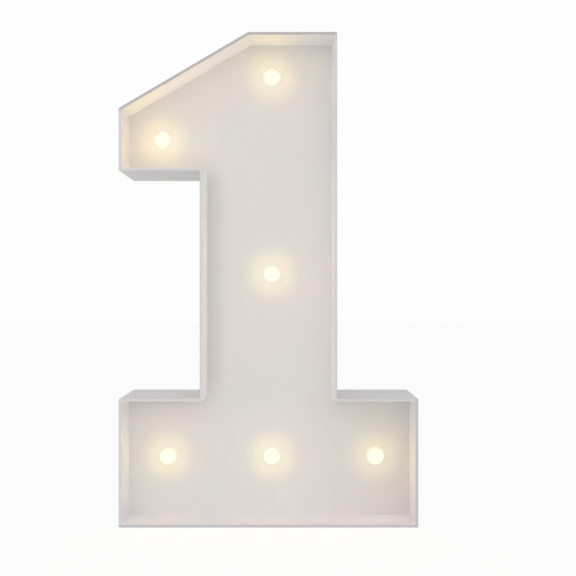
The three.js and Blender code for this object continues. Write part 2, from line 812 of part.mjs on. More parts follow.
// The spring as one unbroken tube
function springTube(line) {
  const corners = line.flatMap((centre, i) => {
    const along = line[Math.min(i + 1, line.length - 1)].clone().sub(line[Math.max(i - 1, 0)]);
    const out = new THREE.Vector3(centre.x, centre.y, 0).normalize();
    const side = along.normalize().cross(out).normalize();
    return Array.from({ length: springSides }, (_, k) => {
      const angle = (k / springSides) * 2 * Math.PI;
      return centre.clone()
        .addScaledVector(out, springWireRadius * Math.cos(angle))
        .addScaledVector(side, springWireRadius * Math.sin(angle));
    });
  });
  const index = [];
  for (let i = 0; i < line.length - 1; i += 1) {
    for (let k = 0; k < springSides; k += 1) {
      const a = i * springSides + k;
      const b = i * springSides + ((k + 1) % springSides);
      index.push(a, b, a + springSides, b, b + springSides, a + springSides);
    }
  }
  const last = (line.length - 1) * springSides;
  for (let k = 1; k < springSides - 1; k += 1) {
    index.push(0, k + 1, k, last, last + k, last + k + 1);
  }
  const geometry = new THREE.BufferGeometry().setFromPoints(corners);
  geometry.setIndex(index);
  geometry.computeVertexNormals();
  return geometry;
}

function switchBody() {
  const halfCan = switchCanLength / 2;
  const halfCanWidth = switchCanWidth / 2;
  const halfFlange = switchFlangeLength / 2;
  const halfTrack = (sliderBaseLength + switchTravel) / 2 + clearance;
  const halfTrackWidth = sliderBaseWidth / 2 + clearance;
  const trackY = switchCanY - sliderBaseHeight - 2 * clearance;
  const low = switchHeight - halfCanWidth;
  const high = switchHeight + halfCanWidth;
  const pins = [-terminalPitch, 0, terminalPitch].map((x) => block(
    x - terminalWidth / 2, x + terminalWidth / 2, switchBackY - terminalLength, switchBackY + bite,
    switchHeight - terminalThickness / 2, switchHeight + terminalThickness / 2,
  ));
  const body = join([
    block(-halfCan, halfCan, switchBackY, switchFlangeY, low, high),
    block(-halfFlange, halfFlange, switchCanY, switchFlangeY, low, high),
    ...pins,
  ]);
  const holes = [-1, 1].map((side) => (
    rod(
      switchHoleRadius, switchCanY - overrun, switchFlangeY + overrun,
      side * switchScrewSpacing / 2, switchHeight, smallSides,
    )
  ));
  return cut(body, [
    block(
      -halfTrack, halfTrack, trackY, switchCanY,
      switchHeight - halfTrackWidth, switchHeight + halfTrackWidth,
    ),
    block(
      -halfSlot, halfSlot, trackY, switchFlangeY + overrun,
      switchHeight - halfSlotWidth, switchHeight + halfSlotWidth,
    ),
    ...holes,
  ]);
}

// Slider at the end of its travel where the lights are on
function switchSlider() {
  const x = -switchTravel / 2;
  const baseTopY = switchCanY - clearance;
  const tipY = rearY - clearance;
  const halfBaseWidth = sliderBaseWidth / 2;
  const halfKnobWidth = knobWidth / 2;
  const body = join([
    block(
      x - sliderBaseLength / 2, x + sliderBaseLength / 2, baseTopY - sliderBaseHeight, baseTopY,
      switchHeight - halfBaseWidth, switchHeight + halfBaseWidth,
    ),
    block(
      x - knobLength / 2, x + knobLength / 2, baseTopY - bite, tipY,
      switchHeight - halfKnobWidth, switchHeight + halfKnobWidth,
    ),
  ]);
  const grooves = [-1, 0, 1].map((step) => {
    const grooveX = x + step * knobGroovePitch;
    return block(
      grooveX - knobGrooveWidth / 2, grooveX + knobGrooveWidth / 2, tipY - knobGrooveDepth, tipY + overrun,
      switchHeight - halfKnobWidth - overrun, switchHeight + halfKnobWidth + overrun,
    );
  });
  return cut(body, grooves);
}

function switchScrew(side) {
  const headY = switchScrewSeatY - switchScrewHeadHeight;
  return turned([
    [0, headY],
    [switchScrewHeadRadius, headY],
    [switchScrewHeadRadius, switchScrewSeatY],
    [switchScrewRadius, switchScrewSeatY],
    [switchScrewRadius, switchScrewEndY],
    [0, switchScrewEndY],
  ], smallSides).translate(side * switchScrewSpacing / 2, 0, switchHeight);
}

// A round cable through a list of points
function cable(points, radius) {
  const section = Array.from({ length: cableSides }, (_, k) => {
    const angle = (k / cableSides) * 2 * Math.PI;
    return new THREE.Vector2(radius * Math.cos(angle), radius * Math.sin(angle));
  });
  const path = new THREE.CatmullRomCurve3(points, false, 'centripetal');
  return new THREE.ExtrudeGeometry(new THREE.Shape(section), {
    steps: cableSteps, extrudePath: path, bevelEnabled: false,
  });
}

// A point beside a light's plug: a bearing in degrees, a distance from its wall and a level
function besidePlug(light, bearing, distance, y) {
  const angle = THREE.MathUtils.degToRad(bearing);
  const radius = plugHeadRadius + clearance + distance;
  return new THREE.Vector3(light.x + radius * Math.cos(angle), y, light.y + radius * Math.sin(angle));
}

// A lead from one light to another, through points in X and Z or half way between the two
const plugMiddleY = plugHeadY + plugHeadHeight / 2;
const leadY = panelBackY + leadLift + leadRadius;
function lead(from, fromBearing, to, toBearing, through = [from.clone().add(to).divideScalar(2)]) {
  return cable([
    besidePlug(from, fromBearing, 0, plugMiddleY),
    besidePlug(from, fromBearing, cableStraight, plugMiddleY),
    ...through.map((point) => new THREE.Vector3(point.x, leadY, point.y)),
    besidePlug(to, toBearing, cableStraight, plugMiddleY),
    besidePlug(to, toBearing, 0, plugMiddleY),
  ], leadRadius);
}

// Leads from light to light, two of them half way between the bay and the stem's left wall
function leads() {
  const laneX = -(halfBay + bayWall + halfStem - rootWall) / 2;
  const upper = [new THREE.Vector2(laneX, (lights.stem.y + lights.top.y) / 2)];
  const lower = [bayTop, bayMiddle, bayBottom].map((z) => new THREE.Vector2(laneX, z));
  return [
    lead(lights.stem, 135, lights.top, 265, upper),
    lead(lights.top, 215, lights.flag, 25),
    lead(lights.stem, 180, lights.baseMiddle, 135, lower),
    lead(lights.baseMiddle, 180, lights.baseLeft, 0),
    lead(lights.baseMiddle, 0, lights.baseRight, 180),
  ];
}

// End of a contact's tail, where its wire starts
const tailY = bayFloorY + clearance + contactThickness / 2;
const tailEnd = (x) => new THREE.Vector3(x, tailY, bayTop + bayWall + tailLength + clearance);

// End of a switch terminal, and the end of the straight stretch of its wire
const terminalEnd = (x) => [
  new THREE.Vector3(x, switchBackY - terminalLength - clearance, switchHeight),
  new THREE.Vector3(x, switchBackY - terminalLength - clearance - wireStraight, switchHeight),
];

function wirePositive() {
  const start = tailEnd(cellPitch / 2);
  const side = lights.stem.x + plugHeadRadius + cableStraight;
  return cable([
    start,
    start.clone().setZ(start.z + wireStraight),
    new THREE.Vector3(side + wireStraight, plugMiddleY, lights.stem.y),
    new THREE.Vector3(side, plugMiddleY, (lights.stem.y + switchHeight) / 2),
    ...terminalEnd(terminalPitch).reverse(),
  ], wireRadius);
}

function wireNegative() {
  const start = tailEnd(-cellPitch / 2);
  return cable([
    start,
    start.clone().setZ(start.z + wireStraight),
    besidePlug(lights.stem, 225, cableStraight, plugMiddleY),
    besidePlug(lights.stem, 225, 0, plugMiddleY),
  ], wireRadius);
}

function wireFeed() {
  return cable([
    ...terminalEnd(0),
    besidePlug(lights.stem, 80, cableStraight, plugMiddleY),
    besidePlug(lights.stem, 80, 0, plugMiddleY),
  ], wireRadius);
}

// Assembly
const marquee = new THREE.Group();

function add(name, geometry, material) {
  const mesh = new THREE.Mesh(geometry, material);
  mesh.name = name;
  marquee.add(mesh);
  return mesh;
}

add('front_housing', geometryOf(frontHousing()), whiteMoulding);
add('rear_cover', geometryOf(rearCover()), whiteMoulding);
add('battery_door', geometryOf(batteryDoor()), whiteMoulding);

Object.values(lights).forEach((light, i) => {
  add(`bulb_dome_${i + 1}`, bulbDome(light), litDome);
  add(`led_${i + 1}`, led(light), ledResin);
  add(`led_plug_${i + 1}`, ledPlug(light), plugRubber);
});
bosses.forEach((place, i) => add(`cover_screw_${i + 1}`, coverScrew(place), plating));

// The first cell stands on its spring, and the second hangs from one, turned end for end.
const springFootUp = bayBottom + contactSpace;
const springFootDown = bayTop - contactSpace;
const cellUp = add('battery_cell_1', batteryCell(), cellJacket);
cellUp.position.set(-cellPitch / 2, cellY, springFootUp + springLength + clearance);
const cellDown = add('battery_cell_2', batteryCell(), cellJacket);
cellDown.position.set(cellPitch / 2, cellY, springFootDown - springLength - clearance);
cellDown.rotation.y = Math.PI;

const line = springLine();
console.log(`least gap between spring turns: ${springGap(line).toFixed(2)} mm`);
const springUp = add('contact_spring_1', springTube(line), plating);
springUp.position.set(-cellPitch / 2, cellY, springFootUp);
const springDown = add('contact_spring_2', springTube(line), plating);
springDown.position.set(cellPitch / 2, cellY, springFootDown);
springDown.rotation.y = Math.PI;

add('contact_bridge', geometryOf(contactBridge()), plating);
add('contact_negative', geometryOf(endContact(-cellPitch / 2)), plating);
add('contact_positive', geometryOf(endContact(cellPitch / 2)), plating);

add('switch_body', geometryOf(switchBody()), switchCan);
add('switch_slider', geometryOf(switchSlider()), switchCan);
add('switch_screw_1', switchScrew(-1), plating);
add('switch_screw_2', switchScrew(1), plating);

leads().forEach((geometry, i) => add(`lead_${i + 1}`, geometry, leadJacket));
add('wire_positive', wirePositive(), redJacket);
add('wire_negative', wireNegative(), blackJacket);
add('wire_feed', wireFeed(), redJacket);

export default marquee;
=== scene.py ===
"""Light-up marquee numeral: the finish of its moulded housing, lit domes, rear cover and battery bay."""

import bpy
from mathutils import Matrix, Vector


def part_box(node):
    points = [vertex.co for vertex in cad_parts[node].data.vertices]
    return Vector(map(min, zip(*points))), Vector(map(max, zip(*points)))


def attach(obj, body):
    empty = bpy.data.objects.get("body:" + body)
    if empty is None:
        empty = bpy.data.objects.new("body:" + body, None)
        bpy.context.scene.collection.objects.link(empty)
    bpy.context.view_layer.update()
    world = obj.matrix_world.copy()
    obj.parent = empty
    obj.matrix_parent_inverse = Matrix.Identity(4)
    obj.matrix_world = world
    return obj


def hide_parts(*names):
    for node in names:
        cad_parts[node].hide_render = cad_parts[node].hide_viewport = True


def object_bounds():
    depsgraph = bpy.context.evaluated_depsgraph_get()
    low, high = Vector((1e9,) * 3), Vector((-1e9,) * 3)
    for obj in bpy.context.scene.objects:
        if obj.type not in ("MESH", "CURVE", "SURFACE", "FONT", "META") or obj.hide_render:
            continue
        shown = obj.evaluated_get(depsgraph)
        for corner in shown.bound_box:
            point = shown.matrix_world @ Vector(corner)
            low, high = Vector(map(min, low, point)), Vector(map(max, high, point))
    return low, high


bl_info = {
    "name": "Marquee Numeral",
    "version": (1, 0, 0),
    "blender": (4, 5, 0),
    "location": "View3D > Sidebar > Marquee",
    "description": "Models the finished pieces of a light-up marquee numeral and the studio around it",
    "category": "Object",
}

import math

import bmesh
import bpy
from bpy.props import FloatProperty, FloatVectorProperty, IntProperty, PointerProperty
from mathutils import Vector

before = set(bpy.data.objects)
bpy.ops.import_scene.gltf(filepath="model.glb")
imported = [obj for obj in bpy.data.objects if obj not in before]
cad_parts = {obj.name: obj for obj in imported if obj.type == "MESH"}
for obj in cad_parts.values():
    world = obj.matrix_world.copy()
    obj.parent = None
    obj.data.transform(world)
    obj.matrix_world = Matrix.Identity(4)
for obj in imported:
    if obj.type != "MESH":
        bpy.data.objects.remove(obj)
cad_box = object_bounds()

MM = 0.001
MERGE = 0.002 * MM
LEVEL = 0.01 * MM
FLAT, SHARP = math.radians(1.0), math.radians(25.0)
SQUARE_ON = 0.9
NOISE_LOW, NOISE_HIGH = 0.3, 0.7
RIGHT_ANGLE = math.pi / 2
FULL_TURN = 2 * math.pi
LEFT, RIGHT = (-1.0, 0.0, 0.0), (1.0, 0.0, 0.0)
FRONT, REAR = (0.0, -1.0, 0.0), (0.0, 1.0, 0.0)
DOWN, UP = (0.0, 0.0, -1.0), (0.0, 0.0, 1.0)
LIGHTS = range(1, 7)
COVER_SCREWS = range(1, 10)
CELLS = range(1, 3)
LEADS = range(1, 6)

# The front housing's box and corners, the levels of its rim, panel and rear edge, and half its stem
LOW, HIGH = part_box("front_housing")
CORNERS = [corner.co.copy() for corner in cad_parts["front_housing"].data.vertices]
FRONT_Y, PANEL_Y = sorted({round(corner.y, 5) for corner in CORNERS})[:2]
REAR_Y = HIGH.y
STEM_X = max(corner.x for corner in CORNERS if corner.z > HIGH.z - LEVEL)
RIM_WIDTH, RIM_DEPTH, PANEL_MARGIN = 1.3 * MM, 0.45 * MM, 0.3 * MM


# Settings


def length_setting(name, description, default):
    return FloatProperty(name=name, description=description, default=default, min=0.0, unit="LENGTH",
                         subtype="DISTANCE")


def share_setting(name, description, default, most=1.0):
    return FloatProperty(name=name, description=description, default=default, min=0.0, max=most,
                         subtype="FACTOR")


def amount_setting(name, description, default):
    return FloatProperty(name=name, description=description, default=default, min=0.0)


def colour_setting(name, description, default):
    return FloatVectorProperty(name=name, description=description, default=default, size=3, min=0.0,
                               max=1.0, subtype="COLOR")


def light_setting(name, description, default):
    return FloatVectorProperty(name=name, description=description, default=default, size=3, min=0.0)


class HousingSettings(bpy.types.PropertyGroup):
    """Roundings, painted shades and painted inner light of the front housing."""

    rim_rounding: length_setting("Rim rounding", "Radius on the outer edges of the side walls", 0.55 * MM)
    inner_fillet: length_setting(
        "Inner fillet", "Radius where the walls meet the panel and on the rim's inner edge", 0.25 * MM)
    colour: colour_setting("Colour", "Middle shade of the off-white moulding", (0.80, 0.797, 0.792))
    # Painted shade: how bright the rims' front face is painted, lightest on the left rims and greyer on the
    # rims that look right, down and up
    left_rim_shade: share_setting(
        "Left rim", "Brightness of the left rims' front face beside the moulding's", 0.955)
    stem_rim_shade: share_setting(
        "Stem rim", "The same for the rims on the stem's right and the right shoulder", 0.92)
    base_rim_shade: share_setting(
        "Base rim", "The same for the rims on the right and the bottom of the base", 0.785)
    top_rim_shade: share_setting("Top rim", "The same for the top and the slanted rims", 0.685)
    # Painted shade on the panel beside the stem's left wall
    stem_shade: share_setting("Stem shade", "Brightness of the panel beside the stem's left wall", 0.845)
    # Panel darker towards the right end of the base
    base_end_darkening: share_setting("Base shade", "Brightness of the panel at the right end of the base", 0.90)
    # Painted shade on the flag's upright inner wall
    flag_shade: share_setting("Flag shade", "Brightness of the upright inner wall in the flag", 0.93)
    # Painted light on the inner faces of the walls, given as emission in the housing's finish: fill, stem
    # fill and bounce
    fill: colour_setting(
        "Fill", "Light that the lit moulding passes on the inner faces of the side walls",
        (0.041, 0.037, 0.080))
    stem_fill: colour_setting(
        "Stem fill", "Further light on the inner faces of the stem's walls", (0.058, 0.062, 0.012))
    bounce: colour_setting(
        "Bounce", "Light between the domes on the inner face of the slanted wall", (0.19, 0.13, 0.055))
    bounce_reach: length_setting(
        "Bounce reach", "Distance from the slanted wall's middle at which the bounce ends", 40.0 * MM)
    # Painted cool tint on the rims' front face, standing in for the cool light of the room
    painted_rim_tint: light_setting(
        "Rim tint", "Tint of the rims' front face, which catches the cool light of the room",
        (0.985, 1.0, 1.035))
    mottle: share_setting("Mottle", "How far the clouded shades stray from the middle one", 0.025, 0.2)


class DomeSettings(bpy.types.PropertyGroup):
    """Lit domes, and the glow painted on the panel round them."""

    radius: length_setting("Dome radius", "Outer radius of the frosted dome", 3.6 * MM)
    wall: length_setting("Dome wall", "Thickness of the dome", 0.8 * MM)
    core_light: light_setting(
        "Core light", "Red, green and blue light of the bright round within a dome's edge",
        (19.8, 15.1, 0.77))
    tip_light: light_setting(
        "Tip light", "Red, green and blue light in the small middle of a dome", (28.0, 22.0, 0.74))
    edge_light: light_setting(
        "Edge light", "Red, green and blue light at the foot of a dome", (0.74, 0.69, 0.60))
    edge_share: share_setting("Edge share", "Share of the dome's height that keeps the edge light", 0.36)
    core_share: share_setting(
        "Core share", "Share of the dome's height from which it has the core light", 0.65)
    tip_share: share_setting("Tip share", "Share of the dome's height from which it has the tip light", 0.97)
    # Painted light: the glow on the panel round each dome is emission painted into the housing's finish
    glow_colour: colour_setting("Glow colour", "Light that the panel passes round a dome", (1.0, 0.76, 0.12))
    glow_strength: amount_setting("Glow strength", "Strength of the glow beside a dome", 0.155)
    glow_reach: length_setting(
        "Glow reach", "Distance from a dome's middle at which its glow ends", 15.0 * MM)


class CoverSettings(bpy.types.PropertyGroup):
    """Rear cover and battery door."""

    edge_rounding: length_setting("Edge rounding", "Radius on the outer edges of the cover", 0.22 * MM)
    door_rounding: length_setting("Door rounding", "Radius on the outer edges of the battery door", 0.14 * MM)
    mark_height: length_setting("Mark height", "Height of the switch marks", 3.6 * MM)
    mark_depth: length_setting("Mark depth", "Depth of the marks cut into the cover and the door", 0.35 * MM)
    fill_colour: colour_setting("Fill colour", "Paint in the floor of the marks", (0.10, 0.10, 0.105))
    colour: colour_setting("Colour", "Middle shade of the textured moulding", (0.70, 0.69, 0.675))


class StageSettings(bpy.types.PropertyGroup):
    """Camera and light of the studio."""

    camera_place: FloatVectorProperty(
        name="Camera place", description="Where the camera stands",
        default=(10.9 * MM, -495.5 * MM, 105.0 * MM), size=3, unit="LENGTH", subtype="TRANSLATION",
    )
    lens: FloatProperty(name="Lens", description="Focal length in millimetres", default=66.68, min=1.0)
    shift_x: FloatProperty(name="Shift X", description="Sideways shift of the lens", default=-0.0087)
    shift_y: FloatProperty(name="Shift Y", description="Upright shift of the lens", default=0.0052)
    front_light: light_setting(
        "Front light", "Light of the surroundings on the camera's side", (0.903, 0.885, 0.932))
    edge_light: light_setting(
        "Edge light", "Light of the surroundings beside, above and below the object", (0.33, 0.33, 0.333))
    rear_light: light_setting(
        "Rear light", "Light of the surroundings behind the object", (0.90, 0.90, 0.90))
    white: amount_setting("White", "Brightness of the backdrop where the camera sees it", 0.982)
    key_power: amount_setting("Key power", "Power of the large lamp before the object", 4.4)
    key_colour: colour_setting("Key colour", "Colour of the large lamp", (1.0, 0.786, 0.48))
    side_power: amount_setting("Side power", "Power of the lamp on the left", 0.4)
    floor_size: length_setting("Floor size", "Side of the floor", 6.0)
    floor_bounce: amount_setting(
        "Floor bounce", "Soft light that the floor gives back to the object", 0.59)
    floor_lift: amount_setting(
        "Floor lift", "How far the floor is lifted to white where the camera sees it", 0.893)


class TurningSettings(bpy.types.PropertyGroup):
    """How finely turned pieces are made."""

    steps: IntProperty(
        name="Steps", description="Faces around a turned piece", default=48, min=8, max=128,
    )


# Modelling helpers


def centre(node):
    """Middle of a frame node's box."""
    low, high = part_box(node)
    return (low + high) / 2


def release():
    """Leave edit mode, with nothing selected."""
    if bpy.context.mode != "OBJECT":
        bpy.ops.object.mode_set(mode="OBJECT")
    bpy.ops.object.select_all(action="DESELECT")


def take(piece):
    """Make one object the only selected one, in object mode."""
    release()
    piece.select_set(True)
    bpy.context.view_layer.objects.active = piece


def settle(piece):
    """Move an object's place, turn and scale into its mesh."""
    take(piece)
    bpy.ops.object.transform_apply(location=True, rotation=True, scale=True)


def edit(piece, action="SELECT", mode="VERT"):
    """Enter edit mode on a piece, with all or none of its mesh selected."""
    take(piece)
    bpy.ops.object.mode_set(mode="EDIT")
    bpy.ops.mesh.select_mode(type=mode)
    bpy.ops.mesh.select_all(action=action)


def pick(piece, mode, wanted):
    """Enter edit mode on a piece, with only the edges or faces selected that pass a test."""
    edit(piece, "DESELECT", mode)
    mesh = bmesh.from_edit_mesh(piece.data)
    for part in mesh.edges if mode == "EDGE" else mesh.faces:
        if wanted(part):
            part.select_set(True)
    bmesh.update_edit_mesh(piece.data)


def name_both(piece, name):
    """Give an object and its data one name."""
    piece.name = name
    piece.data.name = name


def copy_of(node, name, flatten=True):
    """A merged copy of a frame node's mesh, with its flat faces whole again."""
    piece = bpy.data.objects.new(name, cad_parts[node].data.copy())
    bpy.context.scene.collection.objects.link(piece)
    piece.data.name = name
    piece.data.materials.clear()
    take(piece)
    bpy.ops.mesh.customdata_custom_splitnormals_clear()
    edit(piece)
    bpy.ops.mesh.remove_doubles(threshold=MERGE)
    if flatten:
        bpy.ops.mesh.dissolve_limited(angle_limit=FLAT)
    release()
    return piece


def assign(target, **values):
    """Set properties of a modifier, a node or an object's data."""
    for key, value in values.items():
        setattr(target, key, value)


def apply_modifier(piece, kind, **settings):
    """Add a modifier to a piece and apply it."""
    take(piece)
    bpy.ops.object.modifier_add(type=kind)
    modifier = piece.modifiers[-1]
    assign(modifier, **settings)
    bpy.ops.object.modifier_apply(modifier=modifier.name)


def is_sharp(edge):
    """Whether an edge joins two faces at an angle."""
    return len(edge.link_faces) == 2 and edge.calc_face_angle() > SHARP


def round_edges(piece, radius, wanted, segments=3):
    """Bevel the sharp edges of a piece that pass a test."""
    pick(piece, "EDGE", lambda edge: is_sharp(edge) and wanted(edge))
    bpy.ops.mesh.bevel(offset=radius, segments=segments, profile=0.5, affect="EDGES", clamp_overlap=True)
    release()


def longer_than(length):
    """A test for edges that are longer than a length."""
    return lambda edge: edge.calc_length() > length


def at_rear(edge):
    """Whether both ends of an edge lie in the plane of the housing's rear edge."""
    return all(abs(end.co.y - REAR_Y) < LEVEL for end in edge.verts)


def smooth(piece, angle=40.0):
    """Smooth shading that keeps flat faces flat and corners crisp."""
    take(piece)
    bpy.ops.object.shade_smooth_by_angle(angle=math.radians(angle))
    apply_modifier(piece, "WEIGHTED_NORMAL", keep_sharp=True)
    release()


def carve(piece, cutter, operation="DIFFERENCE"):
    """Cut one closed mesh out of another, or unite the two, and drop the second."""
    apply_modifier(piece, "BOOLEAN", operation=operation, solver="EXACT", object=cutter)
    bpy.data.objects.remove(cutter)


def slab(name, low, high):
    """A plain block between two corners."""
    low, high = Vector(low), Vector(high)
    release()
    bpy.ops.mesh.primitive_cube_add(size=1.0, location=(low + high) / 2)
    piece = bpy.context.object
    piece.name = name
    piece.scale = high - low
    settle(piece)
    return piece


def turned(name, profile, node, steps=None, axis=REAR):
    """A piece turned about the middle of a frame node, from radii and distances along the axis."""
    along = Vector(axis)
    points = [Vector((radius, 0.0, 0.0)) + along * distance for radius, distance in profile]
    release()
    bpy.ops.mesh.primitive_plane_add(size=MM)
    piece = bpy.context.object
    name_both(piece, name)
    edit(piece)
    bpy.ops.mesh.merge(type="CENTER")
    bpy.ops.transform.translate(value=points[0])
    for before, after in zip(points, points[1:]):
        bpy.ops.mesh.extrude_vertices_move(TRANSFORM_OT_translate={"value": after - before})
    bpy.ops.mesh.select_all(action="SELECT")
    steps = steps or bpy.context.scene.marquee_turning.steps
    bpy.ops.mesh.spin(steps=steps, angle=FULL_TURN, center=(0.0, 0.0, 0.0), axis=along)
    bpy.ops.mesh.select_all(action="SELECT")
    bpy.ops.mesh.remove_doubles(threshold=MERGE)
    bpy.ops.mesh.normals_make_consistent(inside=False)
    release()
    middle = centre(node)
    piece.location = middle - along * middle.dot(along)
    settle(piece)
    return piece


def arc(middle, radius, start, end, rows):
    """Profile points on a round about a point on the axis, between two angles in degrees from it."""
    angles = [math.radians(start + (end - start) * row / rows) for row in range(rows + 1)]
    return [(radius * math.sin(a), middle - radius * math.cos(a)) for a in angles]


def in_mm(points, radius=0.0, height=0.0):
    """Profile points given in millimetres from a radius and a height."""
    return [(radius + out * MM, height + up * MM) for out, up in points]


def mark(piece, cutter, depth, place, reach):
    """Cut a mark into the rear face of a piece, and paint the floor within a reach in X and Z."""
    carve(piece, cutter)
    for face in piece.data.polygons:
        away = face.center - place
        inside = abs(away.x) < reach[0] and abs(away.z) < reach[1]
        if inside and face.normal.y > SQUARE_ON and abs(face.center.y - (REAR_Y - depth)) < LEVEL:
            face.material_index = 1


def add_materials(piece, *materials):
    """Append materials to a piece, in order."""
    for material in materials:
        piece.data.materials.append(material)


def dress(piece, material, body, slot, *nodes):
    """Give a piece a finish unless it has one, and its body and the frame nodes that it replaces; the slot is
    not used.
    """
    if not piece.data.materials:
        add_materials(piece, material)
    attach(piece, body)
    if nodes:
        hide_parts(*nodes)


def dress_family(first, stem, node, numbers, material, slot):
    """Copy a finished piece to the other nodes of its numbered family, and dress them all."""
    pieces = [first]
    for number in numbers[1:]:
        twin = bpy.data.objects.new(f"{stem}_{number}", first.data.copy())
        bpy.context.scene.collection.objects.link(twin)
        twin.data.name = twin.name
        twin.location = centre(f"{node}_{number}") - centre(f"{node}_1")
        settle(twin)
        pieces.append(twin)
    for number, piece in zip(numbers, pieces):
        dress(piece, material, "root", slot, f"{node}_{number}")


# Shader helpers


def material_of(build, name=None, *options):
    """The material whose nodes a function builds, made the first time that its name is asked for."""
    name = name or build.__name__
    material = bpy.data.materials.get(name)
    if not material:
        material = bpy.data.materials.new(name)
        material.use_nodes = True
        build(material.node_tree, material.node_tree.nodes["Principled BSDF"], *options)
    return material


def connect(tree, node, inputs):
    """Set or link a node's inputs by name or number."""
    for key, value in inputs.items():
        if isinstance(value, bpy.types.NodeSocket):
            tree.links.new(value, node.inputs[key])
        else:
            node.inputs[key].default_value = value


def add_node(tree, kind, inputs=None, **settings):
    """A node with its settings and inputs."""
    made = tree.nodes.new(kind)
    assign(made, **settings)
    connect(tree, made, inputs or {})
    return made


def place_in(tree, stretch=None):
    """The place on the object, stretched along its axes."""
    place = add_node(tree, "ShaderNodeTexCoord").outputs["Object"]
    if not stretch:
        return place
    return add_node(tree, "ShaderNodeMapping", {"Vector": place, "Scale": stretch}).outputs["Vector"]


def one_axis(tree, axis, source=None):
    """One coordinate of the place, or of another vector."""
    return add_node(tree, "ShaderNodeSeparateXYZ", {"Vector": source or place_in(tree)}).outputs[axis]


def noise(tree, scale, detail=3.0, roughness=0.5, stretch=None):
    """Cloudy noise with so many waves to a metre."""
    return add_node(tree, "ShaderNodeTexNoise", {
        "Vector": place_in(tree, stretch), "Scale": scale, "Detail": detail, "Roughness": roughness,
    }).outputs["Fac"]


def shades(tree, source, stops, interpolation="LINEAR"):
    """Colours spread over a source from 0 to 1."""
    node = add_node(tree, "ShaderNodeValToRGB", {"Fac": source})
    ramp = node.color_ramp
    ramp.interpolation = interpolation
    while len(ramp.elements) < len(stops):
        ramp.elements.new(0.5)
    for element, (share, colour) in zip(ramp.elements, stops):
        element.position = share
        element.color = (*colour, 1.0)
    return node.outputs["Color"]


def two_shades(tree, source, dark, pale):
    """Two colours over the span in which most of a noise lies."""
    return shades(tree, source, [(NOISE_LOW, dark), (NOISE_HIGH, pale)])


def tinted(colour, change):
    """A colour with each channel scaled by 1 plus its change."""
    return tuple(min(1.0, channel * (1.0 + step)) for channel, step in zip(colour, change))


def spread(tree, source, low, high, from_low=NOISE_LOW, from_high=NOISE_HIGH, **settings):
    """A source brought between two values."""
    return add_node(tree, "ShaderNodeMapRange", {
        "Value": source, "From Min": from_low, "From Max": from_high, "To Min": low, "To Max": high,
    }, **settings).outputs["Result"]


def eased(tree, source, low, high, from_low, from_high):
    """A source brought between two values, with soft ends."""
    return spread(tree, source, low, high, from_low, from_high, interpolation_type="SMOOTHSTEP")


def turned_to(tree, share, value):
    """1 where a share is 0, and a value where it is 1."""
    return spread(tree, share, 1.0, value, 0.0, 1.0)


def both(tree, first, second, operation="MULTIPLY"):
    """Two numbers brought together."""
    return add_node(tree, "ShaderNodeMath", {0: first, 1: second}, operation=operation).outputs["Value"]


def vectors(tree, first, second, operation):
    """Two vectors brought together, or for SCALE a vector and a number."""
    key = "Scale" if operation == "SCALE" else 1
    made = add_node(tree, "ShaderNodeVectorMath", {0: first, key: second}, operation=operation)
    return made.outputs["Value" if operation in ("DISTANCE", "DOT_PRODUCT") else "Vector"]


def mixed(tree, share, first, second):
    """One colour turned into another as a share goes from 0 to 1."""
    colour_a, colour_b, result = 6, 7, 2
    inputs = {"Factor": share, colour_a: first, colour_b: second}
    return add_node(tree, "ShaderNodeMix", inputs, data_type="RGBA").outputs[result]


def past(tree, direction, reach, vector=None):
    """1 where the place, or another vector, lies further than a reach along a direction, else 0."""
    along = vectors(tree, vector or place_in(tree), direction, "DOT_PRODUCT")
    return both(tree, along, reach, "GREATER_THAN")


def relief(tree, *layers):
    """Fine relief from layers of a source, a strength and a depth."""
    normal = None
    for source, strength, depth in layers:
        inputs = {"Height": source, "Strength": strength, "Distance": depth}
        if normal:
            inputs["Normal"] = normal
        normal = add_node(tree, "ShaderNodeBump", inputs).outputs["Normal"]
    return normal


def seen(tree):
    """1 for what the camera sees, also mirrored or through resin, else 0."""
    path = add_node(tree, "ShaderNodeLightPath").outputs
    direct = both(tree, path["Is Camera Ray"], path["Is Glossy Ray"], "MAXIMUM")
    return both(tree, direct, path["Is Transmission Ray"], "MAXIMUM")


# Places on the front housing


def slant():
    """Middle of the slanted wall's front edge, and the direction that it faces."""
    foot = max((corner for corner in CORNERS if corner.x < LOW.x + LEVEL), key=lambda corner: corner.z)
    head = min((corner for corner in CORNERS if corner.z > HIGH.z - LEVEL), key=lambda corner: corner.x)
    return (foot + head) / 2, Vector((foot.z - head.z, 0.0, head.x - foot.x)).normalized()


def on_rim(tree):
    """1 on the front face of the side walls, else 0."""
    return past(tree, FRONT, -FRONT_Y - RIM_DEPTH)


def on_panel(tree):
    """1 on the panel's front face, else 0."""
    normal = add_node(tree, "ShaderNodeTexCoord").outputs["Normal"]
    return both(tree, past(tree, FRONT, SQUARE_ON, normal), past(tree, REAR, PANEL_Y - PANEL_MARGIN))


def on_inner_wall(tree):
    """1 on the inner faces of the side walls, else 0."""
    return add_node(tree, "ShaderNodeAttribute", attribute_name="inner_wall").outputs["Fac"]


def on_stem(tree):
    """1 along the stem between the base and the flag, fading to 0 at its ends."""
    up = one_axis(tree, "Z")
    base_end, stem_start, stem_end, flag_start = 50.0 * MM, 66.0 * MM, 156.0 * MM, 170.0 * MM
    return both(tree, spread(tree, up, 0.0, 1.0, base_end, stem_start),
                spread(tree, up, 1.0, 0.0, stem_end, flag_start))


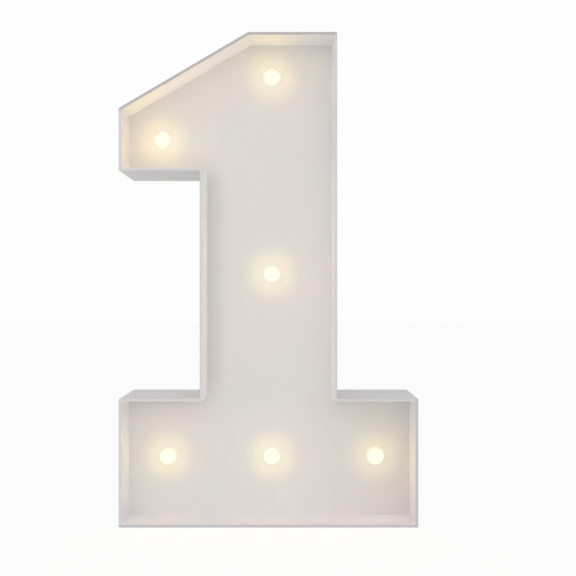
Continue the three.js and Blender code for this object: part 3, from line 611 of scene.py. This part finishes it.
def rim_shade(tree, settings):
    """Brightness of the rim's front face, with painted shade that makes it greyer on the sides that look up,
    right and down.
    """
    middle, facing = slant()
    sides = (
        (RIGHT, STEM_X, settings.stem_rim_shade), (RIGHT, HIGH.x, settings.base_rim_shade),
        (DOWN, -LOW.z, settings.base_rim_shade), (UP, HIGH.z, settings.top_rim_shade),
        (tuple(facing), facing.dot(middle), settings.top_rim_shade),
    )
    share = settings.left_rim_shade
    for direction, reach, side_share in sides:
        side = turned_to(tree, past(tree, direction, reach - RIM_WIDTH), side_share)
        share = both(tree, share, side, "MINIMUM")
    return turned_to(tree, on_rim(tree), share)


def panel_shade_and_darkening(tree, settings):
    """Painted shade on the panel beside the stem's left wall and on the flag's upright inner wall, and the
    panel darker towards the base's right end.
    """
    across, up = one_axis(tree, "X"), one_axis(tree, "Z")
    wall_side, open_side = -STEM_X + 1.0 * MM, -STEM_X + 11.0 * MM
    beside = both(tree, spread(tree, across, 1.0, 0.0, wall_side, open_side), on_stem(tree))
    end_start, end_full, base_full, base_end = 12.0 * MM, HIGH.x - 8.0 * MM, 50.0 * MM, 70.0 * MM
    end = both(tree, spread(tree, across, 0.0, 1.0, end_start, end_full),
               spread(tree, up, 1.0, 0.0, base_full, base_end))
    flag_wall, flag_foot = -LOW.x - 3.0 * MM, 0.7 * HIGH.z
    flag = both(tree, past(tree, LEFT, flag_wall), past(tree, UP, flag_foot))
    shade = turned_to(tree, both(tree, flag, on_inner_wall(tree)), settings.flag_shade)
    panel = on_panel(tree)
    for area, value in ((beside, settings.stem_shade), (end, settings.base_end_darkening)):
        shade = both(tree, shade, turned_to(tree, both(tree, area, panel), value))
    return shade


def painted_dome_glow(tree, domes):
    """Light painted on the panel round each dome, fading over the glow's reach."""
    total, glow_start = 0.0, 0.6 * domes.radius
    for number in LIGHTS:
        spot = centre(f"bulb_dome_{number}")
        away = vectors(tree, place_in(tree), (spot.x, PANEL_Y, spot.z), "DISTANCE")
        total = both(tree, total, eased(tree, away, 1.0, 0.0, glow_start, domes.glow_reach), "ADD")
    strength = both(tree, both(tree, total, on_panel(tree)), domes.glow_strength)
    return vectors(tree, tuple(domes.glow_colour), strength, "SCALE")


def painted_wall_light(tree, settings):
    """Light painted on the inner faces of the walls, stronger on the stem's and on the middle of the slanted
    one.
    """
    middle, _ = slant()
    away = vectors(tree, place_in(tree), (middle.x, 0.5 * (FRONT_Y + PANEL_Y), middle.z), "DISTANCE")
    fade = eased(tree, away, 1.0, 0.0, 0.0, settings.bounce_reach)
    light = vectors(tree, vectors(tree, tuple(settings.bounce), fade, "SCALE"), tuple(settings.fill), "ADD")
    stem = vectors(tree, tuple(settings.stem_fill), on_stem(tree), "SCALE")
    return vectors(tree, vectors(tree, light, stem, "ADD"), on_inner_wall(tree), "SCALE")


# Finishes: each function builds the nodes of the material that material_of makes


def moulded_satin(tree, shader):
    """Off-white satin moulding, clouded, with painted shade on its rim and panel, and the light of the domes
    painted on its panel and walls.
    """
    settings = bpy.context.scene.marquee_housing
    colour = tuple(settings.colour)
    step = settings.mottle
    base = shades(tree, noise(tree, 24.0, 2.0, 0.55), [
        (0.32, tinted(colour, (-step, -0.3 * step, -0.6 * step))),
        (0.5, colour),
        (0.68, tinted(colour, (step, -0.2 * step, -0.1 * step))),
    ])
    # Painted cool tint on the rim's front face
    rim = mixed(tree, on_rim(tree), (1.0, 1.0, 1.0, 1.0), (*settings.painted_rim_tint, 1.0))
    # Painted shade on the rim and the panel
    shade = both(tree, rim_shade(tree, settings), panel_shade_and_darkening(tree, settings))
    glow = painted_dome_glow(tree, bpy.context.scene.marquee_domes)
    connect(tree, shader, {
        "Base Color": vectors(tree, vectors(tree, base, rim, "MULTIPLY"), shade, "SCALE"),
        "Roughness": spread(tree, noise(tree, 160.0), 0.6, 0.7),
        "IOR": 1.46,
        "Specular IOR Level": 0.3,
        "Normal": relief(tree, (noise(tree, 40.0, 1.0), 0.08, 0.6 * MM),
                         (noise(tree, 2600.0, 2.0), 0.12, 0.03 * MM)),
        # Painted glow round the domes and painted light on the inner walls, given as emission
        "Emission Color": vectors(tree, glow, painted_wall_light(tree, settings), "ADD"),
        "Emission Strength": 1.0,
    })


def textured_moulding(tree, shader):
    """Fine spark texture of the cover and the door."""
    colour = bpy.context.scene.marquee_cover.colour
    connect(tree, shader, {
        "Base Color": two_shades(tree, noise(tree, 30.0), tinted(colour, (-0.02, -0.02, -0.025)),
                                 tinted(colour, (0.015, 0.012, 0.01))),
        "Roughness": spread(tree, noise(tree, 900.0), 0.55, 0.68),
        "IOR": 1.46,
        "Normal": relief(tree, (noise(tree, 60.0, 1.0), 0.06, 0.5 * MM),
                         (noise(tree, 1500.0, 3.0, 0.6), 0.35, 0.06 * MM)),
    })


def mark_paint(tree, shader):
    """Thin dark paint in the marks, patchy where it has worn."""
    colour = bpy.context.scene.marquee_cover.fill_colour
    worn = noise(tree, 1400.0, 3.0, 0.6)
    connect(tree, shader, {
        "Base Color": shades(tree, worn, [
            (0.35, tinted(colour, (-0.2, -0.2, -0.2))), (0.8, tinted(colour, (1.2, 1.2, 1.2))),
        ]),
        "Roughness": spread(tree, worn, 0.45, 0.6),
        "Normal": relief(tree, (worn, 0.15, 0.02 * MM)),
    })


def frosted_dome(tree, shader):
    """Frosted dome, near white at its tip and warm at its foot."""
    domes = bpy.context.scene.marquee_domes
    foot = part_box("bulb_dome_1")[0].y + domes.radius
    tip_fade = 0.03
    edge, core, tip, tip_start = (
        foot - share * domes.radius
        for share in (domes.edge_share, domes.core_share, domes.tip_share, domes.tip_share - tip_fade)
    )
    along = one_axis(tree, "Y")
    light = mixed(tree, eased(tree, along, 0.0, 1.0, edge, core), (*domes.edge_light, 1.0),
                  (*domes.core_light, 1.0))
    light = mixed(tree, spread(tree, along, 0.0, 1.0, tip_start, tip), light, (*domes.tip_light, 1.0))
    connect(tree, shader, {
        "Base Color": two_shades(tree, noise(tree, 400.0), (0.16, 0.15, 0.09), (0.2, 0.19, 0.12)),
        "Roughness": spread(tree, noise(tree, 1800.0), 0.36, 0.5),
        "Normal": relief(tree, (noise(tree, 3000.0, 2.0), 0.15, 0.02 * MM)),
        "Emission Color": light,
        "Emission Strength": spread(tree, noise(tree, 900.0, 2.0), 0.97, 1.03),
    })


def dome_inside(tree, shader):
    """The smooth, pale inner face of a dome, round the small lamp."""
    connect(tree, shader, {
        "Base Color": two_shades(tree, noise(tree, 400.0), (0.7, 0.66, 0.5), (0.78, 0.74, 0.58)),
        "Roughness": spread(tree, noise(tree, 900.0), 0.2, 0.34),
    })


def clear_resin(tree, shader):
    """Warm resin of the small lamps inside the domes."""
    connect(tree, shader, {
        "Base Color": two_shades(tree, noise(tree, 500.0), (0.88, 0.76, 0.42), (0.93, 0.83, 0.5)),
        "Roughness": spread(tree, noise(tree, 300.0), 0.06, 0.14),
        "Transmission Weight": 0.35,
        "IOR": 1.52,
    })


def soft_plastic(tree, shader, colour, roughness):
    """Soft or satin plastic of one colour, a little uneven, with a fine skin."""
    grain = 700.0
    connect(tree, shader, {
        "Base Color": two_shades(tree, noise(tree, 90.0), tinted(colour, (-0.08, -0.08, -0.08)),
                                 tinted(colour, (0.06, 0.06, 0.06))),
        "Roughness": spread(tree, noise(tree, grain), roughness - 0.06, roughness + 0.08),
        "Normal": relief(tree, (noise(tree, 2.0 * grain, 2.0), 0.15, 0.04 * MM)),
    })


def nickel_plate(tree, shader, stretch=None):
    """Nickel-plated steel with fine drawn lines along the less stretched axes."""
    lines = noise(tree, 700.0, 3.0, 0.6, stretch)
    connect(tree, shader, {
        "Metallic": 1.0,
        "Base Color": two_shades(tree, lines, (0.52, 0.52, 0.53), (0.66, 0.66, 0.65)),
        "Roughness": spread(tree, lines, 0.2, 0.36),
        "Normal": relief(tree, (lines, 0.2, 0.01 * MM)),
    })


def cell_sleeve(tree, shader, number):
    """Plain graphite sleeve with a pale ring and a blue band towards the terminal."""
    low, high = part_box(f"battery_cell_{number}")
    foot, head = (low.z, high.z) if number == 1 else (high.z, low.z)
    bands = shades(tree, spread(tree, one_axis(tree, "Z"), 0.0, 1.0, foot, head), [
        (0.0, (0.045, 0.048, 0.053)), (0.72, (0.62, 0.62, 0.6)), (0.75, (0.10, 0.16, 0.26)),
    ], "CONSTANT")
    wear = noise(tree, 260.0, 4.0, 0.6)
    connect(tree, shader, {
        "Base Color": mixed(tree, spread(tree, wear, 0.0, 0.12), bands, (0.35, 0.36, 0.37, 1.0)),
        "Roughness": spread(tree, wear, 0.22, 0.38),
        "Coat Weight": 0.3,
        "Normal": relief(tree, (wear, 0.1, 0.02 * MM)),
    })


def white_floor(tree, shader):
    """Pale floor that the camera sees as white, with the object's own shadow on it."""
    settings = bpy.context.scene.marquee_stage
    connect(tree, shader, {
        "Base Color": two_shades(tree, noise(tree, 3.0, 2.0), (0.115, 0.115, 0.115), (0.125, 0.125, 0.125)),
        "Roughness": 1.0,
        "Specular IOR Level": 0.0,
        "Emission Color": (1.0, 1.0, 1.0, 1.0),
        "Emission Strength": spread(tree, seen(tree), settings.floor_bounce, settings.floor_lift, 0.0, 1.0),
    })


# Operators


class MARQUEE_OT_stage(bpy.types.Operator):
    """Set the camera, the floor, the surroundings and the two lamps"""

    bl_idname = "marquee.stage"
    bl_label = "Studio"

    def execute(self, context):
        settings = context.scene.marquee_stage
        context.scene.view_settings.view_transform = "Standard"
        self.add_camera(context, settings)
        self.add_floor(settings)
        self.add_surroundings(context, settings)
        self.add_lamp("key_lamp", place=(0.0, -1.35, 0.12), size=1.4, power=settings.key_power,
                      colour=settings.key_colour)
        self.add_lamp("side_lamp", place=(-1.1, 0.05, 0.2), size=0.5, power=settings.side_power,
                      colour=(1.0, 1.0, 1.0))
        return {"FINISHED"}

    def add_camera(self, context, settings):
        release()
        bpy.ops.object.camera_add(location=settings.camera_place, rotation=(RIGHT_ANGLE, 0.0, 0.0))
        camera = context.object
        camera.name = "photo_camera"
        assign(camera.data, sensor_width=36.0, lens=settings.lens, shift_x=settings.shift_x,
               shift_y=settings.shift_y, clip_start=0.01)
        context.scene.camera = camera

    def add_floor(self, settings):
        release()
        bpy.ops.mesh.primitive_plane_add(size=settings.floor_size)
        floor = bpy.context.object
        floor.name = "floor"
        add_materials(floor, material_of(white_floor))

    def add_surroundings(self, context, settings):
        """Light that changes from front to rear, and plain white where the camera sees it."""
        world = bpy.data.worlds.new("surroundings")
        context.scene.world = world
        world.use_nodes = True
        tree = world.node_tree
        ahead = one_axis(tree, "Y", add_node(tree, "ShaderNodeTexCoord").outputs["Generated"])
        light = (*settings.edge_light, 1.0)
        for start, end, colour in ((0.0, -0.5, settings.front_light), (0.3, 0.75, settings.rear_light)):
            light = mixed(tree, eased(tree, ahead, 0.0, 1.0, start, end), light, (*colour, 1.0))
        white = (settings.white, settings.white, settings.white, 1.0)
        shown = mixed(tree, seen(tree), light, white)
        connect(tree, tree.nodes["Background"], {"Color": shown, "Strength": 1.0})

    def add_lamp(self, name, place, size, power, colour):
        """A soft square lamp that faces the middle of the object."""
        low, high = cad_box
        aim = (low + high) / 2 - Vector(place)
        facing = aim.to_track_quat("-Z", "Y").to_euler()
        release()
        bpy.ops.object.light_add(type="AREA", location=place, rotation=facing)
        lamp = bpy.context.object
        lamp.name = name
        assign(lamp.data, shape="SQUARE", size=size, energy=power, color=colour)


class MARQUEE_OT_front_housing(bpy.types.Operator):
    """Round the edges of the front housing and give it its satin finish, with its painted shade and painted
    light
    """

    bl_idname = "marquee.front_housing"
    bl_label = "Front housing"

    def execute(self, context):
        settings = context.scene.marquee_housing
        piece = copy_of("front_housing", "housing_shell")
        self.round_between(piece, FRONT_Y, REAR_Y, settings.rim_rounding)
        self.round_between(piece, FRONT_Y, PANEL_Y, settings.inner_fillet)
        smooth(piece)
        self.mark_inner_walls(piece)
        dress(piece, material_of(moulded_satin), "root", "housing_plastic", "front_housing")
        return {"FINISHED"}

    def mark_inner_walls(self, piece):
        """Store on each face whether it is an inner face of a side wall, before the panel."""
        marks = piece.data.attributes.new("inner_wall", "FLOAT", "FACE")
        past_rim, at_panel = FRONT_Y + 2.0 * MM, PANEL_Y + 0.1 * MM
        for face in piece.data.polygons:
            deepest = max(piece.data.vertices[corner].co.y for corner in face.vertices)
            inner = abs(face.normal.y) < 0.5 and past_rim < deepest < at_panel
            marks.data[face.index].value = 1.0 if inner else 0.0

    def round_between(self, piece, front, rear, radius):
        """Bevel the corners that run between two levels, and the edges that join their ends."""
        ends = set()
        for edge in piece.data.edges:
            first, last = sorted((piece.data.vertices[end].co for end in edge.vertices), key=lambda co: co.y)
            if abs(first.y - front) < LEVEL and abs(last.y - rear) < LEVEL:
                ends.update((tuple(first), tuple(last)))
        if not ends:
            raise RuntimeError("the housing has no corners between these levels")
        round_edges(piece, radius, lambda edge: all(tuple(end.co) in ends for end in edge.verts))


class MARQUEE_OT_bulb_domes(bpy.types.Operator):
    """Turn the frosted domes and light them"""

    bl_idname = "marquee.bulb_domes"
    bl_label = "Lit domes"

    def execute(self, context):
        settings = context.scene.marquee_domes
        low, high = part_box("bulb_dome_1")
        radius = settings.radius
        bore = radius - settings.wall
        flange = (high.x - low.x) / 2
        foot = low.y + radius
        back = foot + 0.4 * MM
        edge = 0.15 * MM
        first = turned("dome_1", [
            *arc(foot, radius, 0.0, 86.0, 14), (radius + 0.12 * MM, foot), (flange - edge, foot),
            (flange - 0.3 * edge, foot + 0.3 * edge), (flange, foot + edge), (flange, back), (radius, back),
            (radius, high.y - edge), (radius - edge, high.y), (bore, high.y), *arc(foot, bore, 90.0, 0.0, 10),
        ], "bulb_dome_1")
        add_materials(first, material_of(frosted_dome), material_of(dome_inside))
        spot = centre("bulb_dome_1")
        for face in first.data.polygons:
            nearest = Vector((spot.x, max(foot, min(face.center.y, high.y)), spot.z))
            inside = (face.center - nearest).length < bore + 0.2 * settings.wall
            face.material_index = 1 if inside else 0
        smooth(first, 45.0)
        dress_family(first, "dome", "bulb_dome", LIGHTS, None, "lit_dome")
        return {"FINISHED"}


class MARQUEE_OT_small_lamps(bpy.types.Operator):
    """Turn the small lamps inside the domes and the plugs that hold them"""

    bl_idname = "marquee.small_lamps"
    bl_label = "Small lamps and plugs"

    def execute(self, context):
        lamp = self.add_lamp()
        plug = self.add_plug()
        natural = material_of(soft_plastic, "natural_plug", (0.6, 0.57, 0.52), 0.6)
        dress_family(lamp, "small_lamp", "led", LIGHTS, None, "led_resin")
        dress_family(plug, "plug", "led_plug", LIGHTS, natural, "plug_plastic")
        return {"FINISHED"}

    def add_lamp(self):
        """A lamp with a round tip and a flange, on two square legs."""
        low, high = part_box("led_1")
        spot = centre("led_1")
        radius = 2.5 * MM
        flange = (high.x - low.x) / 2
        flange_back = low.y + 8.6 * MM
        flange_front = flange_back - 1.0 * MM
        edge = 0.12 * MM
        body = turned("small_lamp_1", [
            *arc(low.y + radius, radius, 0.0, 90.0, 10), (radius, flange_front),
            (flange - edge, flange_front), (flange, flange_front + edge), (flange, flange_back - edge),
            (flange - edge, flange_back), (0.0, flange_back),
        ], "led_1", steps=32)
        smooth(body, 45.0)
        half, apart = 0.25 * MM, 1.27 * MM
        legs = []
        for side in (-1, 1):
            middle = spot.x + side * apart
            leg = slab(f"leg_{side}", (middle - half, flange_back - half, spot.z - half),
                       (middle + half, high.y, spot.z + half))
            round_edges(leg, 0.06 * MM, longer_than(0.0), 1)
            add_materials(leg, material_of(nickel_plate))
            legs.append(leg)
        add_materials(body, material_of(clear_resin))
        take(body)
        for leg in legs:
            leg.select_set(True)
        bpy.ops.object.join()
        release()
        return body

    def add_plug(self):
        """A hollow plug with three ribs round its head."""
        low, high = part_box("led_plug_1")
        head = (high.x - low.x) / 2
        groove = head - 0.25 * MM
        grip, bore = 3.6 * MM, 2.2 * MM
        head_front = high.y - 3.4 * MM
        bore_end = high.y - 1.0 * MM
        edge = 0.3 * MM
        ribs = []
        for rib in range(3):
            start = head_front + (0.7 + 0.8 * rib) * MM
            ribs += [(head, start), (groove, start + 0.2 * MM), (groove, start + 0.35 * MM),
                     (head, start + 0.5 * MM)]
        plug = turned("plug_1", [
            (0.0, bore_end), (bore, bore_end), (bore, low.y), (grip - 0.15 * MM, low.y),
            (grip, low.y + edge), (grip, head_front), (head - edge, head_front), (head, head_front + edge),
            *ribs, (head, high.y - edge), (head - edge, high.y), (0.0, high.y),
        ], "led_plug_1", steps=32)
        smooth(plug)
        return plug


def rounded_cover(node, name, radius):
    """A copy of a cover with a rounded outer edge, its texture and the paint of its marks."""
    piece = copy_of(node, name)
    round_edges(piece, radius, at_rear)
    add_materials(piece, material_of(textured_moulding), material_of(mark_paint))
    return piece


class MARQUEE_OT_rear_cover(bpy.types.Operator):
    """Round the edges of the rear cover and cut the switch marks into it"""

    bl_idname = "marquee.rear_cover"
    bl_label = "Rear cover"

    def execute(self, context):
        settings = context.scene.marquee_cover
        piece = rounded_cover("rear_cover", "cover_plate", settings.edge_rounding)
        switch = centre("switch_body")
        aside, reach = 12.6 * MM, (5.0 * MM, 2.5 * MM)
        for words, side in (("ON", -1), ("OFF", 1)):
            place = Vector((switch.x + side * aside, REAR_Y, switch.z))
            mark(piece, self.letters(words, settings, place), settings.mark_depth, place, reach)
        smooth(piece)
        dress(piece, None, "root", "cover_plastic", "rear_cover")
        return {"FINISHED"}

    def letters(self, words, settings, place):
        """A closed mesh of raised letters that face the rear, for cutting."""
        release()
        bpy.ops.object.text_add(location=place, rotation=(RIGHT_ANGLE, 0.0, math.pi))
        text = bpy.context.object
        assign(text.data, body=words, align_x="CENTER", align_y="CENTER", size=settings.mark_height,
               extrude=settings.mark_depth, resolution_u=3)
        take(text)
        bpy.ops.object.convert(target="MESH")
        settle(text)
        edit(text)
        bpy.ops.mesh.remove_doubles(threshold=MERGE)
        bpy.ops.mesh.normals_make_consistent(inside=False)
        release()
        return text


class MARQUEE_OT_battery_door(bpy.types.Operator):
    """Round the edges of the battery door and cut its arrow"""

    bl_idname = "marquee.battery_door"
    bl_label = "Battery door"

    def execute(self, context):
        settings = context.scene.marquee_cover
        piece = rounded_cover("battery_door", "door_plate", settings.door_rounding)
        low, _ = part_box("battery_door")
        place = Vector((0.0, REAR_Y, low.z + 19.0 * MM))
        release()
        bpy.ops.mesh.primitive_cylinder_add(
            vertices=3, radius=2.6 * MM, depth=2 * settings.mark_depth, location=place,
            rotation=(RIGHT_ANGLE, math.pi, 0.0),
        )
        arrow = bpy.context.object
        settle(arrow)
        mark(piece, arrow, settings.mark_depth, place, (5.0 * MM, 5.0 * MM))
        smooth(piece)
        dress(piece, None, "door", "cover_plastic", "battery_door")
        return {"FINISHED"}


class MARQUEE_OT_cover_screws(bpy.types.Operator):
    """Turn one cover screw, cut its cross recess and copy it to each well"""

    bl_idname = "marquee.cover_screws"
    bl_label = "Cover screws"

    def execute(self, context):
        low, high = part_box("cover_screw_1")
        head = (high.x - low.x) / 2
        shank, root, pitch = 1.2 * MM, 0.95 * MM, 0.9 * MM
        edge = 0.15 * MM
        seat = high.y - 1.9 * MM
        start = low.y + 2.0 * MM
        thread = []
        for turn in range(int((seat - 1.0 * MM - start) / pitch)):
            foot = start + turn * pitch
            thread += [(root, foot), (shank, foot + 0.35 * pitch), (shank, foot + 0.45 * pitch),
                       (root, foot + 0.8 * pitch)]
        crown_foot, crown_rise = seat + 0.7 * MM, 1.2 * MM
        angles = [math.radians(angle) for angle in (0, 18, 36, 54, 72)]
        crown = [(head * math.cos(a), crown_foot + crown_rise * math.sin(a)) for a in angles]
        screw = turned("screw_1", [
            (0.0, low.y), (0.5 * MM, low.y + 0.8 * MM), *thread, (shank, seat - 0.4 * MM),
            (shank, seat), (head - edge, seat), (head, seat + edge), *crown, (0.0, high.y),
        ], "cover_screw_1", steps=32)
        carve(screw, self.cross(centre("cover_screw_1"), high.y))
        smooth(screw, 35.0)
        dress_family(screw, "screw", "cover_screw", COVER_SCREWS, material_of(nickel_plate), "plated_steel")
        return {"FINISHED"}

    def cross(self, spot, top):
        """Cutter for a cross recess, narrower towards its floor."""
        long_half, short_half, depth, floor_share = 1.6 * MM, 0.4 * MM, 1.2 * MM, 0.45
        blades = []
        for x, z in ((long_half, short_half), (short_half, long_half)):
            blade = slab("blade", (spot.x - x, top - depth, spot.z - z),
                         (spot.x + x, top + depth, spot.z + z))
            pick(blade, "FACE", lambda face: face.normal.y < -0.5)
            bpy.ops.transform.resize(value=(floor_share, 1.0, floor_share),
                                     center_override=(spot.x, top - depth, spot.z))
            release()
            blades.append(blade)
        carve(*blades, "UNION")
        return blades[0]


class MARQUEE_OT_slide_switch(bpy.types.Operator):
    """Finish the slide switch, its knob and its screws"""

    bl_idname = "marquee.slide_switch"
    bl_label = "Slide switch"

    def execute(self, context):
        body = copy_of("switch_body", "switch_can")
        round_edges(body, 0.08 * MM, longer_than(1.0 * MM), 2)
        smooth(body)
        knob = copy_of("switch_slider", "switch_knob")
        round_edges(knob, 0.07 * MM, longer_than(0.4 * MM), 2)
        smooth(knob)
        black = material_of(soft_plastic, "switch_black", (0.02, 0.02, 0.022), 0.42)
        knob_black = material_of(soft_plastic, "switch_knob_black", (0.025, 0.025, 0.027), 0.36)
        dress(body, black, "root", "switch_plastic", "switch_body")
        dress(knob, knob_black, "slider", "switch_plastic", "switch_slider")
        for number in (1, 2):
            self.add_screw(f"switch_screw_{number}")
        return {"FINISHED"}

    def add_screw(self, node):
        """A small screw with a slotted head, which faces the front."""
        low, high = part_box(node)
        spot = centre(node)
        head = (high.x - low.x) / 2
        shank = 0.8 * MM
        seat = low.y + 1.1 * MM
        edge = 0.2 * MM
        thread = []
        for turn in range(5):
            foot = seat + (0.5 + 0.6 * turn) * MM
            thread += [(shank, foot), (shank - 0.15 * MM, foot + 0.3 * MM)]
        screw = turned(node + "_turned", [
            (0.0, low.y), (head - 2 * edge, low.y), (head - 0.5 * edge, low.y + edge),
            (head, low.y + 2 * edge), (head, seat), (shank, seat), *thread,
            (shank - 0.3 * MM, high.y), (0.0, high.y),
        ], node, steps=24)
        slot_length, slot_width = 1.2 * head, 0.2 * MM
        carve(screw, slab("slot_cutter", (spot.x - slot_length, low.y - edge, spot.z - slot_width),
                          (spot.x + slot_length, low.y + 2 * edge, spot.z + slot_width)))
        smooth(screw, 35.0)
        dress(screw, material_of(nickel_plate), "root", "plated_steel", node)


class MARQUEE_OT_battery_cells(bpy.types.Operator):
    """Turn the cells with their crimped ends and plain sleeves"""

    bl_idname = "marquee.battery_cells"
    bl_label = "Battery cells"

    def execute(self, context):
        for number in CELLS:
            self.add_cell(number)
        return {"FINISHED"}

    def add_cell(self, number):
        node = f"battery_cell_{number}"
        low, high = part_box(node)
        spot = centre(node)
        length = high.z - low.z
        radius = (high.x - low.x) / 2
        top = length - 1.2 * MM
        profile = [
            *in_mm([(0.0, 0.12), (3.6, 0.12), (3.8, 0.0), (6.3, 0.0), (6.75, 0.12), (6.95, 0.4)]),
            *in_mm([(-0.12, 0.5), (0.0, 0.75), (0.0, 2.0)], radius),
            *in_mm([(0.0, -0.9), (-0.1, -0.45), (-0.45, -0.12), (-0.8, 0.0), (-1.2, -0.04)], radius, top),
            *in_mm([(5.4, -0.25), (4.6, -0.1), (3.3, -0.08), (2.85, 0.05), (2.7, 0.25)], 0.0, top),
            *in_mm([(2.7, -0.25), (2.55, -0.06), (2.3, 0.0), (0.0, 0.0)], 0.0, length),
        ]
        if number == 1:
            profile = [(r, low.z + h) for r, h in profile]
        else:
            profile = [(r, high.z - h) for r, h in profile]
        cell = turned(f"cell_{number}", profile, node, axis=UP)
        sleeve = material_of(cell_sleeve, f"cell_sleeve_{number}", number)
        add_materials(cell, sleeve, material_of(nickel_plate))
        rim, bare_end = 0.9 * MM, 0.45 * MM
        for face in cell.data.polygons:
            away = math.hypot(face.center.x - spot.x, face.center.y - spot.y)
            sleeved = away > radius - rim and low.z + bare_end < face.center.z < high.z - bare_end
            face.material_index = 0 if sleeved else 1
        smooth(cell)
        dress(cell, None, "root", "cell_jacket", node)


class MARQUEE_OT_battery_contacts(bpy.types.Operator):
    """Finish the contact strips and wind the conical springs"""

    bl_idname = "marquee.battery_contacts"
    bl_label = "Contacts and springs"

    def execute(self, context):
        drawn = material_of(nickel_plate, "drawn_strip", (0.1, 1.0, 1.0))
        for node in ("contact_bridge", "contact_negative", "contact_positive"):
            strip = copy_of(node, node + "_strip")
            round_edges(strip, 0.08 * MM, longer_than(0.3 * MM), 2)
            smooth(strip)
            dress(strip, drawn, "root", "plated_steel", node)
        self.add_spring(1, 1)
        self.add_spring(2, -1)
        return {"FINISHED"}

    def add_spring(self, number, rise):
        """A spring from its wide foot to its tip, wound about the axis of its cell."""
        node = f"contact_spring_{number}"
        low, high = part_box(node)
        wire, wide, narrow = 0.4 * MM, 4.0 * MM, 2.6 * MM
        turns, steps, sides = 3.5, 140, 12
        release()
        bpy.ops.mesh.primitive_circle_add(vertices=sides, radius=wire, location=(wide, 0.0, 0.0),
                                          rotation=(RIGHT_ANGLE, 0.0, 0.0))
        spring = bpy.context.object
        name_both(spring, f"spring_{number}")
        settle(spring)
        apply_modifier(spring, "SCREW", axis="Z", angle=-turns * FULL_TURN,
                       screw_offset=high.z - low.z - 2 * wire, steps=steps, render_steps=steps)
        for vertex in spring.data.vertices:
            flat = Vector((vertex.co.x, vertex.co.y, 0.0))
            vertex.co -= flat.normalized() * (wide - narrow) * (vertex.index // sides) / steps
        edit(spring)
        bpy.ops.mesh.fill_holes(sides=0)
        bpy.ops.mesh.select_all(action="SELECT")
        bpy.ops.mesh.normals_make_consistent(inside=False)
        release()
        axis = centre(f"battery_cell_{number}")
        spring.rotation_euler.y = 0.0 if rise > 0 else math.pi
        spring.location = (axis.x, axis.y, low.z + wire if rise > 0 else high.z - wire)
        settle(spring)
        smooth(spring, 50.0)
        dress(spring, material_of(nickel_plate), "root", "plated_steel", node)


class MARQUEE_OT_wiring(bpy.types.Operator):
    """Round the leads between the lights and the wires of the battery bay"""

    bl_idname = "marquee.wiring"
    bl_label = "Wiring"

    def execute(self, context):
        white = material_of(soft_plastic, "white_sheath", (0.72, 0.71, 0.68), 0.45)
        red = material_of(soft_plastic, "red_sheath", (0.34, 0.035, 0.025), 0.45)
        black = material_of(soft_plastic, "black_sheath", (0.02, 0.02, 0.022), 0.45)
        for node, material, slot in (
            *((f"lead_{number}", white, "lead_jacket") for number in LEADS),
            ("wire_positive", red, "red_jacket"),
            ("wire_negative", black, "black_jacket"),
            ("wire_feed", red, "red_jacket"),
        ):
            cable = copy_of(node, node + "_sheath", flatten=False)
            apply_modifier(cable, "SUBSURF", levels=1, render_levels=1)
            edit(cable)
            bpy.ops.transform.shrink_fatten(value=0.08 * MM)
            release()
            smooth(cable, 50.0)
            dress(cable, material, "root", slot, node)
        return {"FINISHED"}


class MARQUEE_PT_sidebar(bpy.types.Panel):
    """Buttons for each group of pieces"""

    bl_label = "Marquee numeral"
    bl_idname = "MARQUEE_PT_sidebar"
    bl_space_type = "VIEW_3D"
    bl_region_type = "UI"
    bl_category = "Marquee"

    def draw(self, context):
        for operator in OPERATORS:
            self.layout.operator(operator.bl_idname)
        for name in SETTINGS:
            box = self.layout.box()
            settings = getattr(context.scene, name)
            for key in settings.__annotations__:
                box.prop(settings, key)


OPERATORS = (
    MARQUEE_OT_stage,
    MARQUEE_OT_front_housing,
    MARQUEE_OT_bulb_domes,
    MARQUEE_OT_small_lamps,
    MARQUEE_OT_rear_cover,
    MARQUEE_OT_battery_door,
    MARQUEE_OT_cover_screws,
    MARQUEE_OT_slide_switch,
    MARQUEE_OT_battery_cells,
    MARQUEE_OT_battery_contacts,
    MARQUEE_OT_wiring,
)

SETTINGS = {
    "marquee_housing": HousingSettings,
    "marquee_domes": DomeSettings,
    "marquee_cover": CoverSettings,
    "marquee_stage": StageSettings,
    "marquee_turning": TurningSettings,
}


def register():
    for name, group in SETTINGS.items():
        bpy.utils.register_class(group)
        setattr(bpy.types.Scene, name, PointerProperty(type=group))
    for operator in OPERATORS:
        bpy.utils.register_class(operator)
    bpy.utils.register_class(MARQUEE_PT_sidebar)


def unregister():
    bpy.utils.unregister_class(MARQUEE_PT_sidebar)
    for operator in reversed(OPERATORS):
        bpy.utils.unregister_class(operator)
    for name, group in SETTINGS.items():
        delattr(bpy.types.Scene, name)
        bpy.utils.unregister_class(group)


def main():
    register()
    bpy.ops.marquee.stage()
    bpy.ops.marquee.front_housing()
    bpy.ops.marquee.bulb_domes()
    bpy.ops.marquee.small_lamps()
    bpy.ops.marquee.rear_cover()
    bpy.ops.marquee.battery_door()
    bpy.ops.marquee.cover_screws()
    bpy.ops.marquee.slide_switch()
    bpy.ops.marquee.battery_cells()
    bpy.ops.marquee.battery_contacts()
    bpy.ops.marquee.wiring()


if __name__ == "__main__":
    main()
